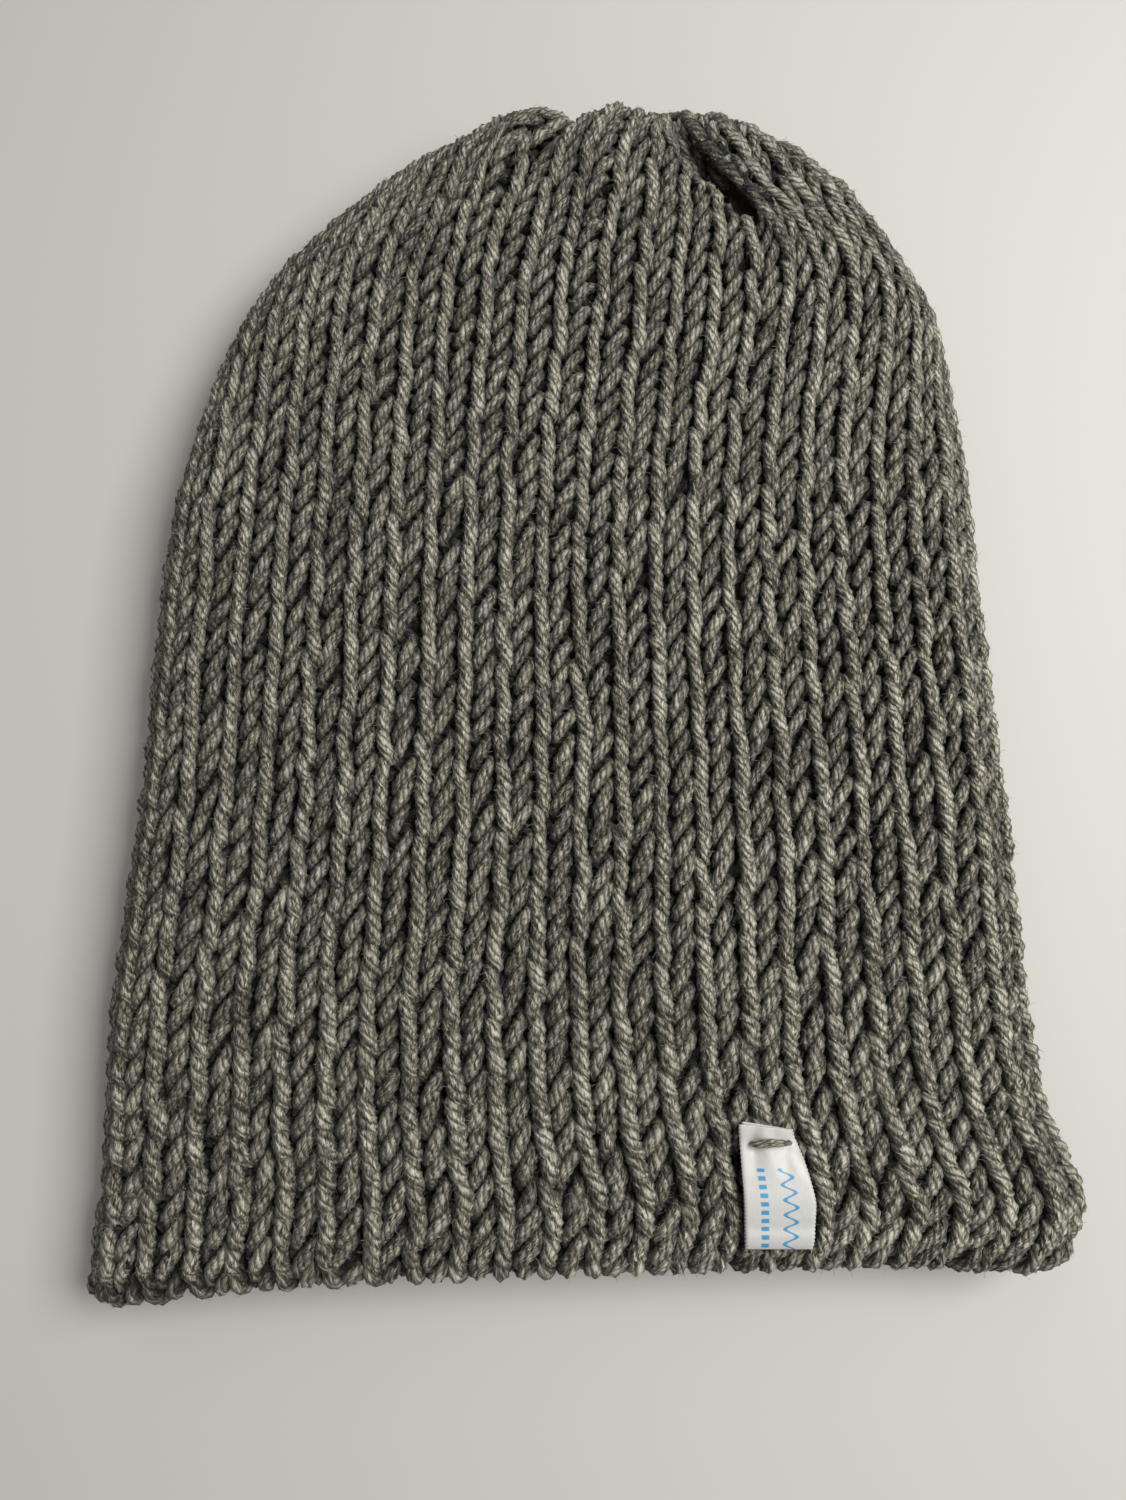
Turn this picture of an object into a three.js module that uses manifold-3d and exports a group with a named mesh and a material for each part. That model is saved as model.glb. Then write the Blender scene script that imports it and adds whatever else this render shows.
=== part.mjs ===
// A chunky knitted hat lying flat on its back: one long knitted tube pushed into itself, so that it is double,
// with a folded rim, a rounded and gathered crown, and a folded ribbon label tied on near the rim.
// Millimetres. +X is to the wearer's left as seen here (right), +Y runs from the rim to the crown, +Z is up.
// The origin is on the surface that the hat lies on, under the middle of the hat.
import * as THREE from "three";
import { mergeVertices } from "three/addons/utils/BufferGeometryUtils.js";
import Module from "manifold-3d";

// Driving dimensions of the knitted body. "Ahead" is measured from the middle of the rim towards the crown.
const crownTip = 264; // from the middle of the rim to the tip of the crown
const thickness = 23; // the hat as it lies, both sides together
const wall = 6.5; // two layers of knit, one inside the other
const rimOverhang = 0.7; // how far the rounded fold of the rim passes the rim line
const domeStart = 168; // where the tube starts to close
const crownTurn = THREE.MathUtils.degToRad(30); // how far the drawn-up centre lies round the tip, on the underside
const lowestFold = -9.4; // the drooping left corner of the rim, the part's nearest point
const middleAhead = (crownTip + lowestFold) / 2;

// Half widths of the lying hat to the left and to the right of the middle line.
const outline = [
  { ahead: 0, left: 105, right: 102 },
  { ahead: 10, left: 105.5, right: 106 },
  { ahead: 20, left: 106, right: 103 },
  { ahead: 32, left: 105.5, right: 99 },
  { ahead: 52, left: 104.5, right: 96.5 },
  { ahead: 95, left: 100, right: 94 },
  { ahead: 142, left: 97.5, right: 90.5 },
  { ahead: 166, left: 95, right: 89.5 },
  { ahead: 190, left: 89, right: 87 },
  { ahead: 209, left: 82, right: 84.5 },
  { ahead: 222, left: 73.5, right: 78.5 },
  { ahead: 235, left: 60.5, right: 70 },
  { ahead: 248, left: 44, right: 58 },
  { ahead: 254.5, left: 30, right: 47.5 },
  { ahead: 261.3, left: 7, right: 32 },
  { ahead: 264, left: -8, right: 15 },
];

// How far ahead of its middle the rim line lies across the hat, which fades out by rimWaveEnd.
const rimWave = [
  { across: -108, ahead: -8 },
  { across: -85, ahead: -6 },
  { across: -50, ahead: -2.5 },
  { across: 0, ahead: 0 },
  { across: 40, ahead: 2 },
  { across: 70, ahead: 3 },
  { across: 95, ahead: 1.5 },
  { across: 108, ahead: 3 },
];
const rimWaveEnd = 90;

// Soft dents in the upper side, where the knit lies a little lower. They fade out over the two reaches.
const dents = [
  { name: "left corner of the rim", across: -88, ahead: 12, reachAcross: 50, reachAhead: 55, deep: 3 },
  { name: "band below the crown", across: -12, ahead: 203, reachAcross: 75, reachAhead: 22, deep: 1.6 },
  { name: "right side of the rim", across: 80, ahead: 34, reachAcross: 24, reachAhead: 40, deep: 1.4 },
  { name: "left side", across: -80, ahead: 118, reachAcross: 30, reachAhead: 60, deep: 1.3 },
];

// Folds that the drawn-up crown makes in the knit. "around" is the angle of the wale that the fold follows at
// its start, in degrees from the top middle, and "turn" how far it has moved round at its end. "along" is 1
// where the dome starts and 2 at the drawn-up centre.
const gathers = [
  { name: "deep crease", around: 35, turn: -27, wide: 7, deep: 7, from: 1.27, to: 1.62 },
  { name: "valley right of it", around: 56, turn: 4, wide: 9, deep: 1.6, from: 1.0, to: 1.5 },
  { name: "notch at the tip", around: -10, turn: 0, wide: 6, deep: 3.2, from: 1.5, to: 2 },
  { name: "fold right of the tip", around: 32, turn: 0, wide: 7, deep: 2, from: 1.62, to: 2 },
  { name: "fold left of the tip", around: -42, turn: 0, wide: 9, deep: 2.2, from: 1.5, to: 2 },
  { name: "left fold", around: -80, turn: 0, wide: 11, deep: 2.5, from: 1.5, to: 2 },
  { name: "right fold", around: 72, turn: 0, wide: 10, deep: 2.5, from: 1.5, to: 2 },
  { name: "left fold below", around: -118, turn: 0, wide: 11, deep: 3, from: 1.45, to: 2 },
  { name: "right fold below", around: 112, turn: 0, wide: 11, deep: 3, from: 1.45, to: 2 },
  { name: "left inner fold below", around: -152, turn: 0, wide: 10, deep: 3, from: 1.4, to: 2 },
  { name: "right inner fold below", around: 150, turn: 0, wide: 10, deep: 3, from: 1.4, to: 2 },
];
const drawnIn = 3; // how far the drawn-up centre sits inside the outline
const innerShare = 0.8; // the share of a fold's depth that shows on the inside

// Where the mesh has its columns and rows. The crown's visible side has finer columns.
const fineColumn = 4;
const coarseColumn = 6;
const fineFrom = -64;
const fineTo = 76;
const outerRows = [0, 0.05, 0.11, 0.19, 0.3, 0.45, 0.62, 0.8, 1];
const outerDomeRings = 15;
const innerRows = [0, 0.11, 0.3, 0.62, 1];
const innerDomeRings = 8;
const foldSteps = 4;

// The ribbon label: one ribbon folded double, fold towards the rim, squeezed by the stitch near its cut ends.
const ribbon = {
  leftEdge: 31.5,
  width: 14,
  squeezedWidth: 11,
  squeezedAhead: 27.5,
  foldAhead: 4.6,
  endAhead: 28.5,
  thick: 0.5,
  layerGap: 0.5,
  swell: 0.9,
};
const clearance = 0.3; // between pieces that touch on the real hat
const labelStitch = { from: 33.6, to: 40.8, ahead: 25.3, radius: 0.9, holeRadius: 1.25 };

const knitColour = 0x7d7a70;
const ribbonColour = 0xe9eaee;
const yarnColour = 0x6f6c63;

// A smooth curve through a table's rows: cubic pieces whose slope at a row is that of its neighbours.
function lookUp(table, key, column, at) {
  const last = table.length - 1;
  const slope = (i) => {
    const a = table[Math.max(i - 1, 0)];
    const b = table[Math.min(i + 1, last)];
    return (b[column] - a[column]) / (b[key] - a[key]);
  };
  const x = THREE.MathUtils.clamp(at, table[0][key], table[last][key]);
  let i = 0;
  while (i < last - 1 && table[i + 1][key] < x) i += 1;
  const span = table[i + 1][key] - table[i][key];
  const t = (x - table[i][key]) / span;
  const ease = t * t * (3 - 2 * t);
  return (
    table[i][column] * (1 - ease) +
    table[i + 1][column] * ease +
    span * slope(i) * t * (1 - t) * (1 - t) -
    span * slope(i + 1) * t * t * (1 - t)
  );
}

const easeIn = (from, to, at) => THREE.MathUtils.smoothstep(at, from, to);

function dentDepth(across, ahead) {
  return dents.reduce((sum, dent) => {
    const x = (across - dent.across) / dent.reachAcross;
    const y = (ahead - dent.ahead) / dent.reachAhead;
    return sum + dent.deep * Math.exp(-x * x - y * y);
  }, 0);
}

// A point of the cross-section at one distance ahead: two flat sides joined by round edges. "around" is the
// angle from the top middle, and equal angles give equal lengths of knit, drawn together at the sides of the crown.
function sectionPoint(around, ahead, inset) {
  const left = lookUp(outline, "ahead", "left", ahead);
  const right = lookUp(outline, "ahead", "right", ahead);
  const halfWidth = (left + right) / 2 - inset;
  const fullRadius = thickness / 2 - inset;
  const intoTip = THREE.MathUtils.clamp((ahead - (crownTip - inset - fullRadius)) / fullRadius, 0, 1);
  const radius = Math.min(fullRadius * Math.sqrt(1 - intoTip * intoTip), 0.98 * halfWidth);
  const below = Math.abs(around) > Math.PI / 2;
  const even = (below ? Math.PI - Math.abs(around) : Math.abs(around)) / (Math.PI / 2);
  const drawn = 0.35 * easeIn(150, 240, ahead);
  const share = even + drawn * (Math.sin((Math.PI / 2) * even) - even);
  const flat = halfWidth - radius;
  const length = share * (flat + (Math.PI / 2) * radius);
  const bend = radius > 0 ? Math.max(length - flat, 0) / radius : 0;
  const across = (right - left) / 2 + Math.sign(around) * (Math.min(length, flat) + radius * Math.sin(bend));
  const up = radius * Math.cos(bend);
  const wave = lookUp(rimWave, "across", "ahead", across) * (1 - easeIn(0, rimWaveEnd, ahead));
  const height = thickness / 2 + (below ? -up : up);
  const lowered = dentDepth(across, ahead) * (height / thickness);
  return new THREE.Vector3(across, ahead + wave - middleAhead, height - lowered);
}

// A point of the smooth body. "along" runs from 0 at the rim to 1 where the dome starts and 2 at the drawn-up
// centre, whose axis turns from the tip to the underside as the dome closes.
function smoothPoint(around, along, inset) {
  const tubeStart = wall / 2 - rimOverhang;
  if (along <= 1) return sectionPoint(around, tubeStart + along * (domeStart - tubeStart), inset);
  const fromCentre = (Math.PI / 2) * (2 - along);
  const turned = crownTurn * (along - 1);
  const ahead = Math.cos(fromCentre) * Math.cos(turned) +
    Math.sin(fromCentre) * Math.cos(around) * Math.sin(turned);
  const up = Math.sin(fromCentre) * Math.cos(around) * Math.cos(turned) -
    Math.cos(fromCentre) * Math.sin(turned);
  const across = Math.sin(fromCentre) * Math.sin(around);
  const reach = crownTip - inset - domeStart;
  return sectionPoint(Math.atan2(across, up), domeStart + reach * ahead, inset);
}

// How far the folds of the crown press the knit in at one place.
function gatherDepth(around, along) {
  const degrees = THREE.MathUtils.radToDeg(around);
  return gathers.reduce((sum, fold) => {
    const done = (along - fold.from) / (fold.to - fold.from);
    if (done <= 0 || done >= 1) return sum;
    const off = (degrees - fold.around - fold.turn * done) / fold.wide;
    const fade = fold.to < 2 ? Math.sin(Math.PI * done) : Math.sin((Math.PI / 2) * Math.min(done * 2, 1));
    return sum + fold.deep * fade * Math.exp(-off * off);
  }, 0);
}

function bodyPoint(around, along, inset) {
  const point = smoothPoint(around, along, inset);
  const deep = gatherDepth(around, along) * (inset > 0 ? innerShare : 1);
  if (deep < 0.02) return point;
  const step = 0.01;
  const round = smoothPoint(around + step, along, inset).sub(smoothPoint(around - step, along, inset));
  const ahead = smoothPoint(around, along + step, inset).sub(smoothPoint(around, along - step, inset));
  return point.addScaledVector(ahead.cross(round).normalize(), deep);
}

// Angles of the mesh's columns, once round.
function columnAngles() {
  const degrees = [];
  for (let at = fineFrom; at < fineTo; at += fineColumn) degrees.push(at);
  const rest = Math.round((360 - (fineTo - fineFrom)) / coarseColumn);
  for (let i = 0; i < rest; i += 1) degrees.push(fineTo + i * coarseColumn);
  return degrees.map((at) => THREE.MathUtils.degToRad(at > 180 ? at - 360 : at));
}

const domeRows = (rings) => Array.from({ length: rings - 1 }, (_, i) => 1 + (i + 1) / rings);

// A closed mesh from rings of points, each ring once round, with a point at either end.
function ringsToGeometry(firstPoint, rings, lastPoint) {
  const count = rings[0].length;
  const points = [firstPoint, ...rings.flat(), lastPoint];
  const at = (ring, i) => 1 + ring * count + (i % count);
  const index = [];
  for (let i = 0; i < count; i += 1) {
    index.push(0, at(0, i), at(0, i + 1));
    for (let ring = 0; ring < rings.length - 1; ring += 1) {
      index.push(at(ring, i), at(ring + 1, i + 1), at(ring, i + 1));
      index.push(at(ring, i), at(ring + 1, i), at(ring + 1, i + 1));
    }
    index.push(at(rings.length - 1, i), points.length - 1, at(rings.length - 1, i + 1));
  }
  return new THREE.BufferGeometry().setFromPoints(points).setIndex(index);
}

// The knitted body: from the drawn-up centre down the outside, round the fold of the rim and up the inside.
function knitShellGeometry() {
  const angles = columnAngles();
  const ring = (along, inset) => angles.map((around) => bodyPoint(around, along, inset));
  const outside = [...outerRows, ...domeRows(outerDomeRings)].reverse().map((along) => ring(along, 0));
  const inside = [...innerRows, ...domeRows(innerDomeRings)].map((along) => ring(along, wall));
  const outerEdge = outside[outside.length - 1];
  const fold = [];
  for (let step = 1; step < foldSteps; step += 1) {
    const turn = (Math.PI * step) / foldSteps;
    fold.push(outerEdge.map((outer, i) => {
      const middle = outer.clone().add(inside[0][i]).multiplyScalar(0.5);
      const half = outer.clone().sub(middle);
      const point = middle.addScaledVector(half, Math.cos(turn));
      point.y -= half.length() * Math.sin(turn);
      return point;
    }));
  }
  const centre = smoothPoint(0, 2, 0);
  centre.z += drawnIn;
  const innerCentre = smoothPoint(0, 2, wall);
  return ringsToGeometry(centre, [...outside, ...fold, ...inside], innerCentre);
}

// The middle line of the folded ribbon, seen from the side: up from the cut end of the back layer's side,
// as distance ahead and height, with the direction that its thickness has there.
function ribbonPath() {
  const bottom = thickness + clearance + ribbon.thick / 2;
  const top = bottom + ribbon.thick + ribbon.layerGap;
  const turnRadius = (top - bottom) / 2;
  const run = ribbon.endAhead - ribbon.foldAhead - turnRadius;
  const path = [];
  const runSteps = 6;
  const turnSteps = 4;
  for (let i = 0; i < runSteps; i += 1) {
    path.push({ ahead: ribbon.endAhead - (run * i) / runSteps, up: bottom, lift: 0, normal: [0, -1] });
  }
  for (let i = 0; i <= turnSteps; i += 1) {
    const turn = (Math.PI * i) / turnSteps;
    path.push({
      ahead: ribbon.foldAhead + turnRadius * (1 - Math.sin(turn)),
      up: bottom + turnRadius * (1 - Math.cos(turn)),
      lift: 0,
      normal: [-Math.sin(turn), -Math.cos(turn)],
    });
  }
  for (let i = 1; i <= runSteps; i += 1) {
    const share = i / runSteps;
    path.push({
      ahead: ribbon.endAhead - run * (1 - share),
      up: top,
      lift: ribbon.swell * Math.sin(Math.PI * Math.min(share / 0.85, 1)),
      normal: [0, 1],
    });
  }
  return path;
}

// The ribbon's width is full at the fold and squeezed near its cut ends.
function ribbonRightEdge(ahead) {
  const squeezed = easeIn(14, ribbon.squeezedAhead, ahead);
  return ribbon.leftEdge + THREE.MathUtils.lerp(ribbon.width, ribbon.squeezedWidth, squeezed);
}

function labelRibbonGeometry() {
  const path = ribbonPath();
  const acrossSteps = 4;
  const side = (face, lastColumn) => path.map((at) => {
    const across = THREE.MathUtils.lerp(ribbon.leftEdge, ribbonRightEdge(at.ahead), lastColumn / acrossSteps);
    const arch = Math.sin((Math.PI * lastColumn) / acrossSteps);
    const off = (face * ribbon.thick) / 2;
    return new THREE.Vector3(
      across,
      at.ahead - middleAhead + at.normal[0] * off,
      at.up + at.lift * arch + at.normal[1] * off,
    );
  });
  // One closed ring across the ribbon's section for each place along the path.
  const columns = Array.from({ length: acrossSteps + 1 }, (_, i) => i);
  const outerFace = columns.map((i) => side(1, i)).reverse();
  const innerFace = columns.map((i) => side(-1, i));
  const loops = path.map((_, k) => [...outerFace, ...innerFace].map((line) => line[k]));
  const middle = (loop) => loop.reduce((sum, p) => sum.add(p), new THREE.Vector3()).divideScalar(loop.length);
  return ringsToGeometry(middle(loops[0]), loops, middle(loops[loops.length - 1]));
}

function stitchTop() {
  const layers = clearance + 2 * ribbon.thick + ribbon.layerGap + ribbon.swell;
  return thickness + layers + clearance + labelStitch.radius;
}

// The bar of yarn over the ribbon, with a leg down through the ribbon at each end.
function labelStitchGeometry() {
  const ahead = labelStitch.ahead - middleAhead;
  const top = stitchTop();
  const foot = thickness + clearance;
  const bend = 1.2;
  const route = new THREE.CurvePath();
  const point = (across, up) => new THREE.Vector3(across, ahead, up);
  const { from, to } = labelStitch;
  route.add(new THREE.LineCurve3(point(from, foot), point(from, top - bend)));
  route.add(new THREE.QuadraticBezierCurve3(point(from, top - bend), point(from, top), point(from + bend, top)));
  route.add(new THREE.LineCurve3(point(from + bend, top), point(to - bend, top)));
  route.add(new THREE.QuadraticBezierCurve3(point(to - bend, top), point(to, top), point(to, top - bend)));
  route.add(new THREE.LineCurve3(point(to, top - bend), point(to, foot)));
  const section = new THREE.Shape();
  const sides = 8;
  for (let i = 0; i < sides; i += 1) {
    const turn = (2 * Math.PI * (i + 0.5)) / sides;
    const x = labelStitch.radius * Math.cos(turn);
    const y = labelStitch.radius * Math.sin(turn);
    if (i === 0) section.moveTo(x, y);
    else section.lineTo(x, y);
  }
  return new THREE.ExtrudeGeometry(section, { steps: 20, extrudePath: route, bevelEnabled: false });
}

const wasm = await Module();
wasm.setup();

function toSolid(geometry) {
  const bare = geometry.clone();
  bare.deleteAttribute("normal");
  bare.deleteAttribute("uv");
  const merged = mergeVertices(bare, 1e-4);
  return new wasm.Manifold(new wasm.Mesh({
    numProp: 3,
    vertProperties: merged.attributes.position.array,
    triVerts: new Uint32Array(merged.index.array),
  }));
}

function toGeometry(solid) {
  const { vertProperties, triVerts } = solid.getMesh();
  return new THREE.BufferGeometry()
    .setAttribute("position", new THREE.BufferAttribute(vertProperties, 3))
    .setIndex(new THREE.BufferAttribute(triVerts, 1));
}

// The ribbon with the two holes that the stitch's legs pass through.
function piercedRibbonGeometry() {
  const hole = new THREE.CylinderGeometry(labelStitch.holeRadius, labelStitch.holeRadius, 12, 10);
  hole.rotateX(Math.PI / 2);
  return toGeometry([labelStitch.from, labelStitch.to].reduce((solid, across) => {
    const placed = hole.clone().translate(across, labelStitch.ahead - middleAhead, thickness + 1);
    return solid.subtract(toSolid(placed));
  }, toSolid(labelRibbonGeometry())));
}

function namedMesh(name, geometry, colour, roughness) {
  const material = new THREE.MeshStandardMaterial({ color: colour, roughness, metalness: 0 });
  const mesh = new THREE.Mesh(geometry, material);
  mesh.name = name;
  return mesh;
}

const hat = new THREE.Group();
hat.add(namedMesh("knit_shell", knitShellGeometry(), knitColour, 0.95));
hat.add(namedMesh("label_ribbon", piercedRibbonGeometry(), ribbonColour, 0.45));
hat.add(namedMesh("label_stitch", labelStitchGeometry(), yarnColour, 0.95));

export default hat;
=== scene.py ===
# A chunky melange knit hat lying flat on a pale table, its label side up.
from math import pi, radians

import bpy
import numpy as np
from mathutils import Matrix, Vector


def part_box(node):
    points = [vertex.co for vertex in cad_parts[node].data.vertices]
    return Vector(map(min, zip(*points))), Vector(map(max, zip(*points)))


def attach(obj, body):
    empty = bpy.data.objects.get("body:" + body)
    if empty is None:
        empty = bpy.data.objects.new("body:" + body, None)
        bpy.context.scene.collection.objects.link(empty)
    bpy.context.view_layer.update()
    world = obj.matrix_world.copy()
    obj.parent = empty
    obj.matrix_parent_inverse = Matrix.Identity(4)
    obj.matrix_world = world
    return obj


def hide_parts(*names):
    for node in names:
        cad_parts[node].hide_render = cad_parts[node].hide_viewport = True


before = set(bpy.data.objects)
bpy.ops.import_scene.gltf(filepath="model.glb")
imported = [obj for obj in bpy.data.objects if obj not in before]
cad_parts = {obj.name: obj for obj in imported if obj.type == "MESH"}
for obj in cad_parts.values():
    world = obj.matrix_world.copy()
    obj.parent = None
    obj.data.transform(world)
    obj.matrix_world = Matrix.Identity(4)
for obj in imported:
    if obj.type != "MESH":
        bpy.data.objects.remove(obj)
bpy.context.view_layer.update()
MM = 0.001


# The view. A phone held about 26 cm above the table, over the lower half of the hat and tilted a little
# towards the crown. The table is plain, pale and matt, and the light is soft and comes from the upper right.
def linear(code, alpha=1.0):
    """An sRGB hex colour as linear red, green, blue and alpha."""
    parts = [int(code[i : i + 2], 16) / 255 for i in (1, 3, 5)]
    return (*[c / 12.92 if c <= 0.04045 else ((c + 0.055) / 1.055) ** 2.4 for c in parts], alpha)


def add_node(tree, kind, inputs=(), **settings):
    """Adds a node with its settings, and fills or links its inputs by name or number."""
    made = tree.nodes.new(kind)
    for name, value in settings.items():
        setattr(made, name, value)
    for key, value in dict(inputs).items():
        if isinstance(value, bpy.types.NodeSocket):
            tree.links.new(value, made.inputs[key])
        else:
            made.inputs[key].default_value = value
    return made


def show(name, data):
    """Links new data to the scene as an object at the origin."""
    made = bpy.data.objects.new(name, data)
    bpy.context.collection.objects.link(made)
    return made


def new_material(name):
    """An empty node material, its tree and the output that its shader goes to."""
    material = bpy.data.materials.new(name)
    material.use_nodes = True
    material.node_tree.nodes.clear()
    output = add_node(material.node_tree, "ShaderNodeOutputMaterial")
    return material, material.node_tree, output.inputs["Surface"]


MIDDLE_AHEAD = 127.3  # from the middle of the rim to the frame's origin
CAMERA_ACROSS, CAMERA_AHEAD, CAMERA_ABOVE = -5.0, 72.6, 263.6
CAMERA_TILT = 8
PHONE_LENS = 27.05
camera_data = bpy.data.cameras.new("phone_camera")
camera_data.lens = PHONE_LENS
camera_data.clip_start = 10 * MM
camera = show("phone_camera", camera_data)
camera.location = (CAMERA_ACROSS * MM, (CAMERA_AHEAD - MIDDLE_AHEAD) * MM, CAMERA_ABOVE * MM)
camera.rotation_euler = (radians(CAMERA_TILT), 0, 0)
bpy.context.scene.camera = camera

TABLE_HALF = 3.0
table_mesh = bpy.data.meshes.new("pale_table")
table_corners = [(x * TABLE_HALF, y * TABLE_HALF, 0) for x, y in ((-1, -1), (1, -1), (1, 1), (-1, 1))]
table_mesh.from_pydata(table_corners, [], [(0, 1, 2, 3)])
table = show("pale_table", table_mesh)
table_paint, table_tree, table_surface = new_material("pale_matt_table")
table_shader = add_node(table_tree, "ShaderNodeBsdfPrincipled", {
    "Base Color": linear("#cfccc4"),
    "Roughness": 0.9,
})
table_tree.links.new(table_shader.outputs[0], table_surface)
table_mesh.materials.append(table_paint)

LAMPS = (  # name, place, size, power, turn
    ("key_light", (0.36, 0.05, 0.56), 0.36, 4.4, (-4, 33.5, 0)),
    ("fill_light", (-0.5, 0.9, 1.2), 1.2, 2.0, (-34.7, -22.6, 0)),
)
for name, place, size, power, turn in LAMPS:
    light = bpy.data.lights.new(name, "AREA")
    light.size = size
    light.energy = power
    lamp = show(name, light)
    lamp.location = place
    lamp.rotation_euler = [radians(angle) for angle in turn]
world = bpy.data.worlds.new("soft_room")
world.use_nodes = True
world.node_tree.nodes["Background"].inputs["Color"].default_value = linear("#e9eaec")
world.node_tree.nodes["Background"].inputs["Strength"].default_value = 0.3
bpy.context.scene.world = world
bpy.context.scene.view_settings.view_transform = "Standard"


# The knitted body. One long tube of bulky melange yarn, 48 stitches round, knitted in the round and pushed
# into itself so that it is double. The rim is a fold, and the crown is drawn up on its last course.
# It lies flat on its back. Places are in millimetres from the middle of the rim.
CROWN_TIP = 264.0
THICKNESS = 23.0
WALL = 6.5
RIM_OVERHANG = 0.7
DOME_START = 168.0
CROWN_TURN = radians(30)
ROUNDEST = 0.98  # the side folds' radius as a share of the half width, at most
CROWDING, CROWDING_SPAN = 0.35, (150, 240)  # of the wales towards the side folds, where the crown narrows
OUTLINE = np.array([  # ahead, left half width, right half width
    (0, 106.2, 102), (10, 106, 106), (20, 105, 103), (32, 105, 99), (52, 104.5, 96.5), (95, 100, 94),
    (142, 97.5, 90.5), (166, 95, 89.5), (190, 89, 87), (209, 82, 84.5), (222, 73.5, 78.5), (235, 60.5, 70),
    (248, 44, 58), (254.5, 30, 47.5), (261.3, 7, 32), (264, -8, 15),
])
RIM_WAVE = np.array([  # across, ahead
    (-108, -8), (-85, -6.2), (-50, -3.6), (0, -1.8), (40, -0.2), (70, 1), (95, 0.6), (108, 3),
])
RIM_WAVE_END = 90.0
DENTS = (  # across, ahead, reach across, reach ahead, deep
    (-92, 12, 44, 60, 4.5),
    (-12, 203, 75, 22, 1.6),
    (80, 34, 24, 40, 1.4),
    (-80, 118, 30, 60, 1.3),
)
# The folds of the gathered crown, ridges where their depth is below zero. Those that end at 2, the drawn-up
# centre, are as deep there, and the others fade out.
GATHERS = (  # degrees around from the top, degrees wide, deep, from, to
    (56, 9, 1.6, 1.0, 1.5),
    (-18.5, 4.5, 5.0, 1.35, 1.95),
    (-29, 6.5, -3.2, 1.3, 1.88),
    (-8, 7, -2.0, 1.3, 1.88),
    (-80, 11, 1.2, 1.4, 1.95),
    (72, 10, 2.5, 1.5, 2),
    (-118, 11, 1.5, 1.4, 1.95),
    (112, 11, 3, 1.45, 2),
    (-152, 10, 3, 1.4, 2),
    (150, 10, 3, 1.4, 2),
)
# The deep crease right of the tip is a pleat: the knit on its right side lies over it in a lip, and the wales
# between where the crease runs and the wale that the lip follows are tucked under.
PLEAT_WALE = 34.5
PLEAT_PATH = np.array([  # along, around, open, strength
    (1.20, 34.5, 0.0, 0.0), (1.28, 34.5, 0.0, 0.3), (1.33, 33.5, 0.05, 1), (1.365, 31, 0.3, 1),
    (1.40, 27, 0.9, 1), (1.433, 22, 1, 1), (1.48, 18, 0.7, 1), (1.54, 14.5, 0.3, 1), (1.62, 12, 0.12, 1),
    (1.75, 12, 0.05, 0.9), (1.9, 28, 0.0, 0.2), (2, 34.5, 0.0, 0.0),
])
PLEAT_SHAPE = np.array([  # share of the tucked knit, sideways in degrees, share of the depth
    (0, 0, 0), (0.15, 0.6, 0.12), (0.32, 1.2, 0.85), (0.5, 2.4, 1), (0.68, 3.2, 0.95), (0.82, 1.6, 0.6),
    (0.92, 0.2, 0.12), (1, 0, -0.06),
])
PLEAT_DEPTH = 8.0
PLEAT_LEFT, PLEAT_RIGHT = 3.0, 2.5
PLEAT_SPREAD = 70.0
LIP_LIFT, LIP_REACH = 1.3, 9.0
LIP_START = 0.8  # share of the tucked knit
NEAR_TIP = 1.999  # the furthest along the body that a way is measured, as all wales meet at 2


def look_up(table, column, at):
    """A smooth curve through a table's rows: cubic pieces whose slope at a row is that of its neighbours."""
    keys, values = table[:, 0], table[:, column]
    last = len(keys) - 1
    before = np.maximum(np.arange(last + 1) - 1, 0)
    after = np.minimum(np.arange(last + 1) + 1, last)
    slope = (values[after] - values[before]) / (keys[after] - keys[before])
    x = np.clip(at, keys[0], keys[-1])
    i = np.clip(np.searchsorted(keys, x) - 1, 0, last - 1)
    span = keys[i + 1] - keys[i]
    t = (x - keys[i]) / span
    ease = t * t * (3 - 2 * t)
    level = values[i] * (1 - ease) + values[i + 1] * ease
    return level + span * t * (1 - t) * (slope[i] * (1 - t) - slope[i + 1] * t)


def ease_in(start, end, at):
    """From 0 at the start to 1 at the end, without a corner."""
    t = np.clip((at - start) / (end - start), 0, 1)
    return t * t * (3 - 2 * t)


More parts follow.
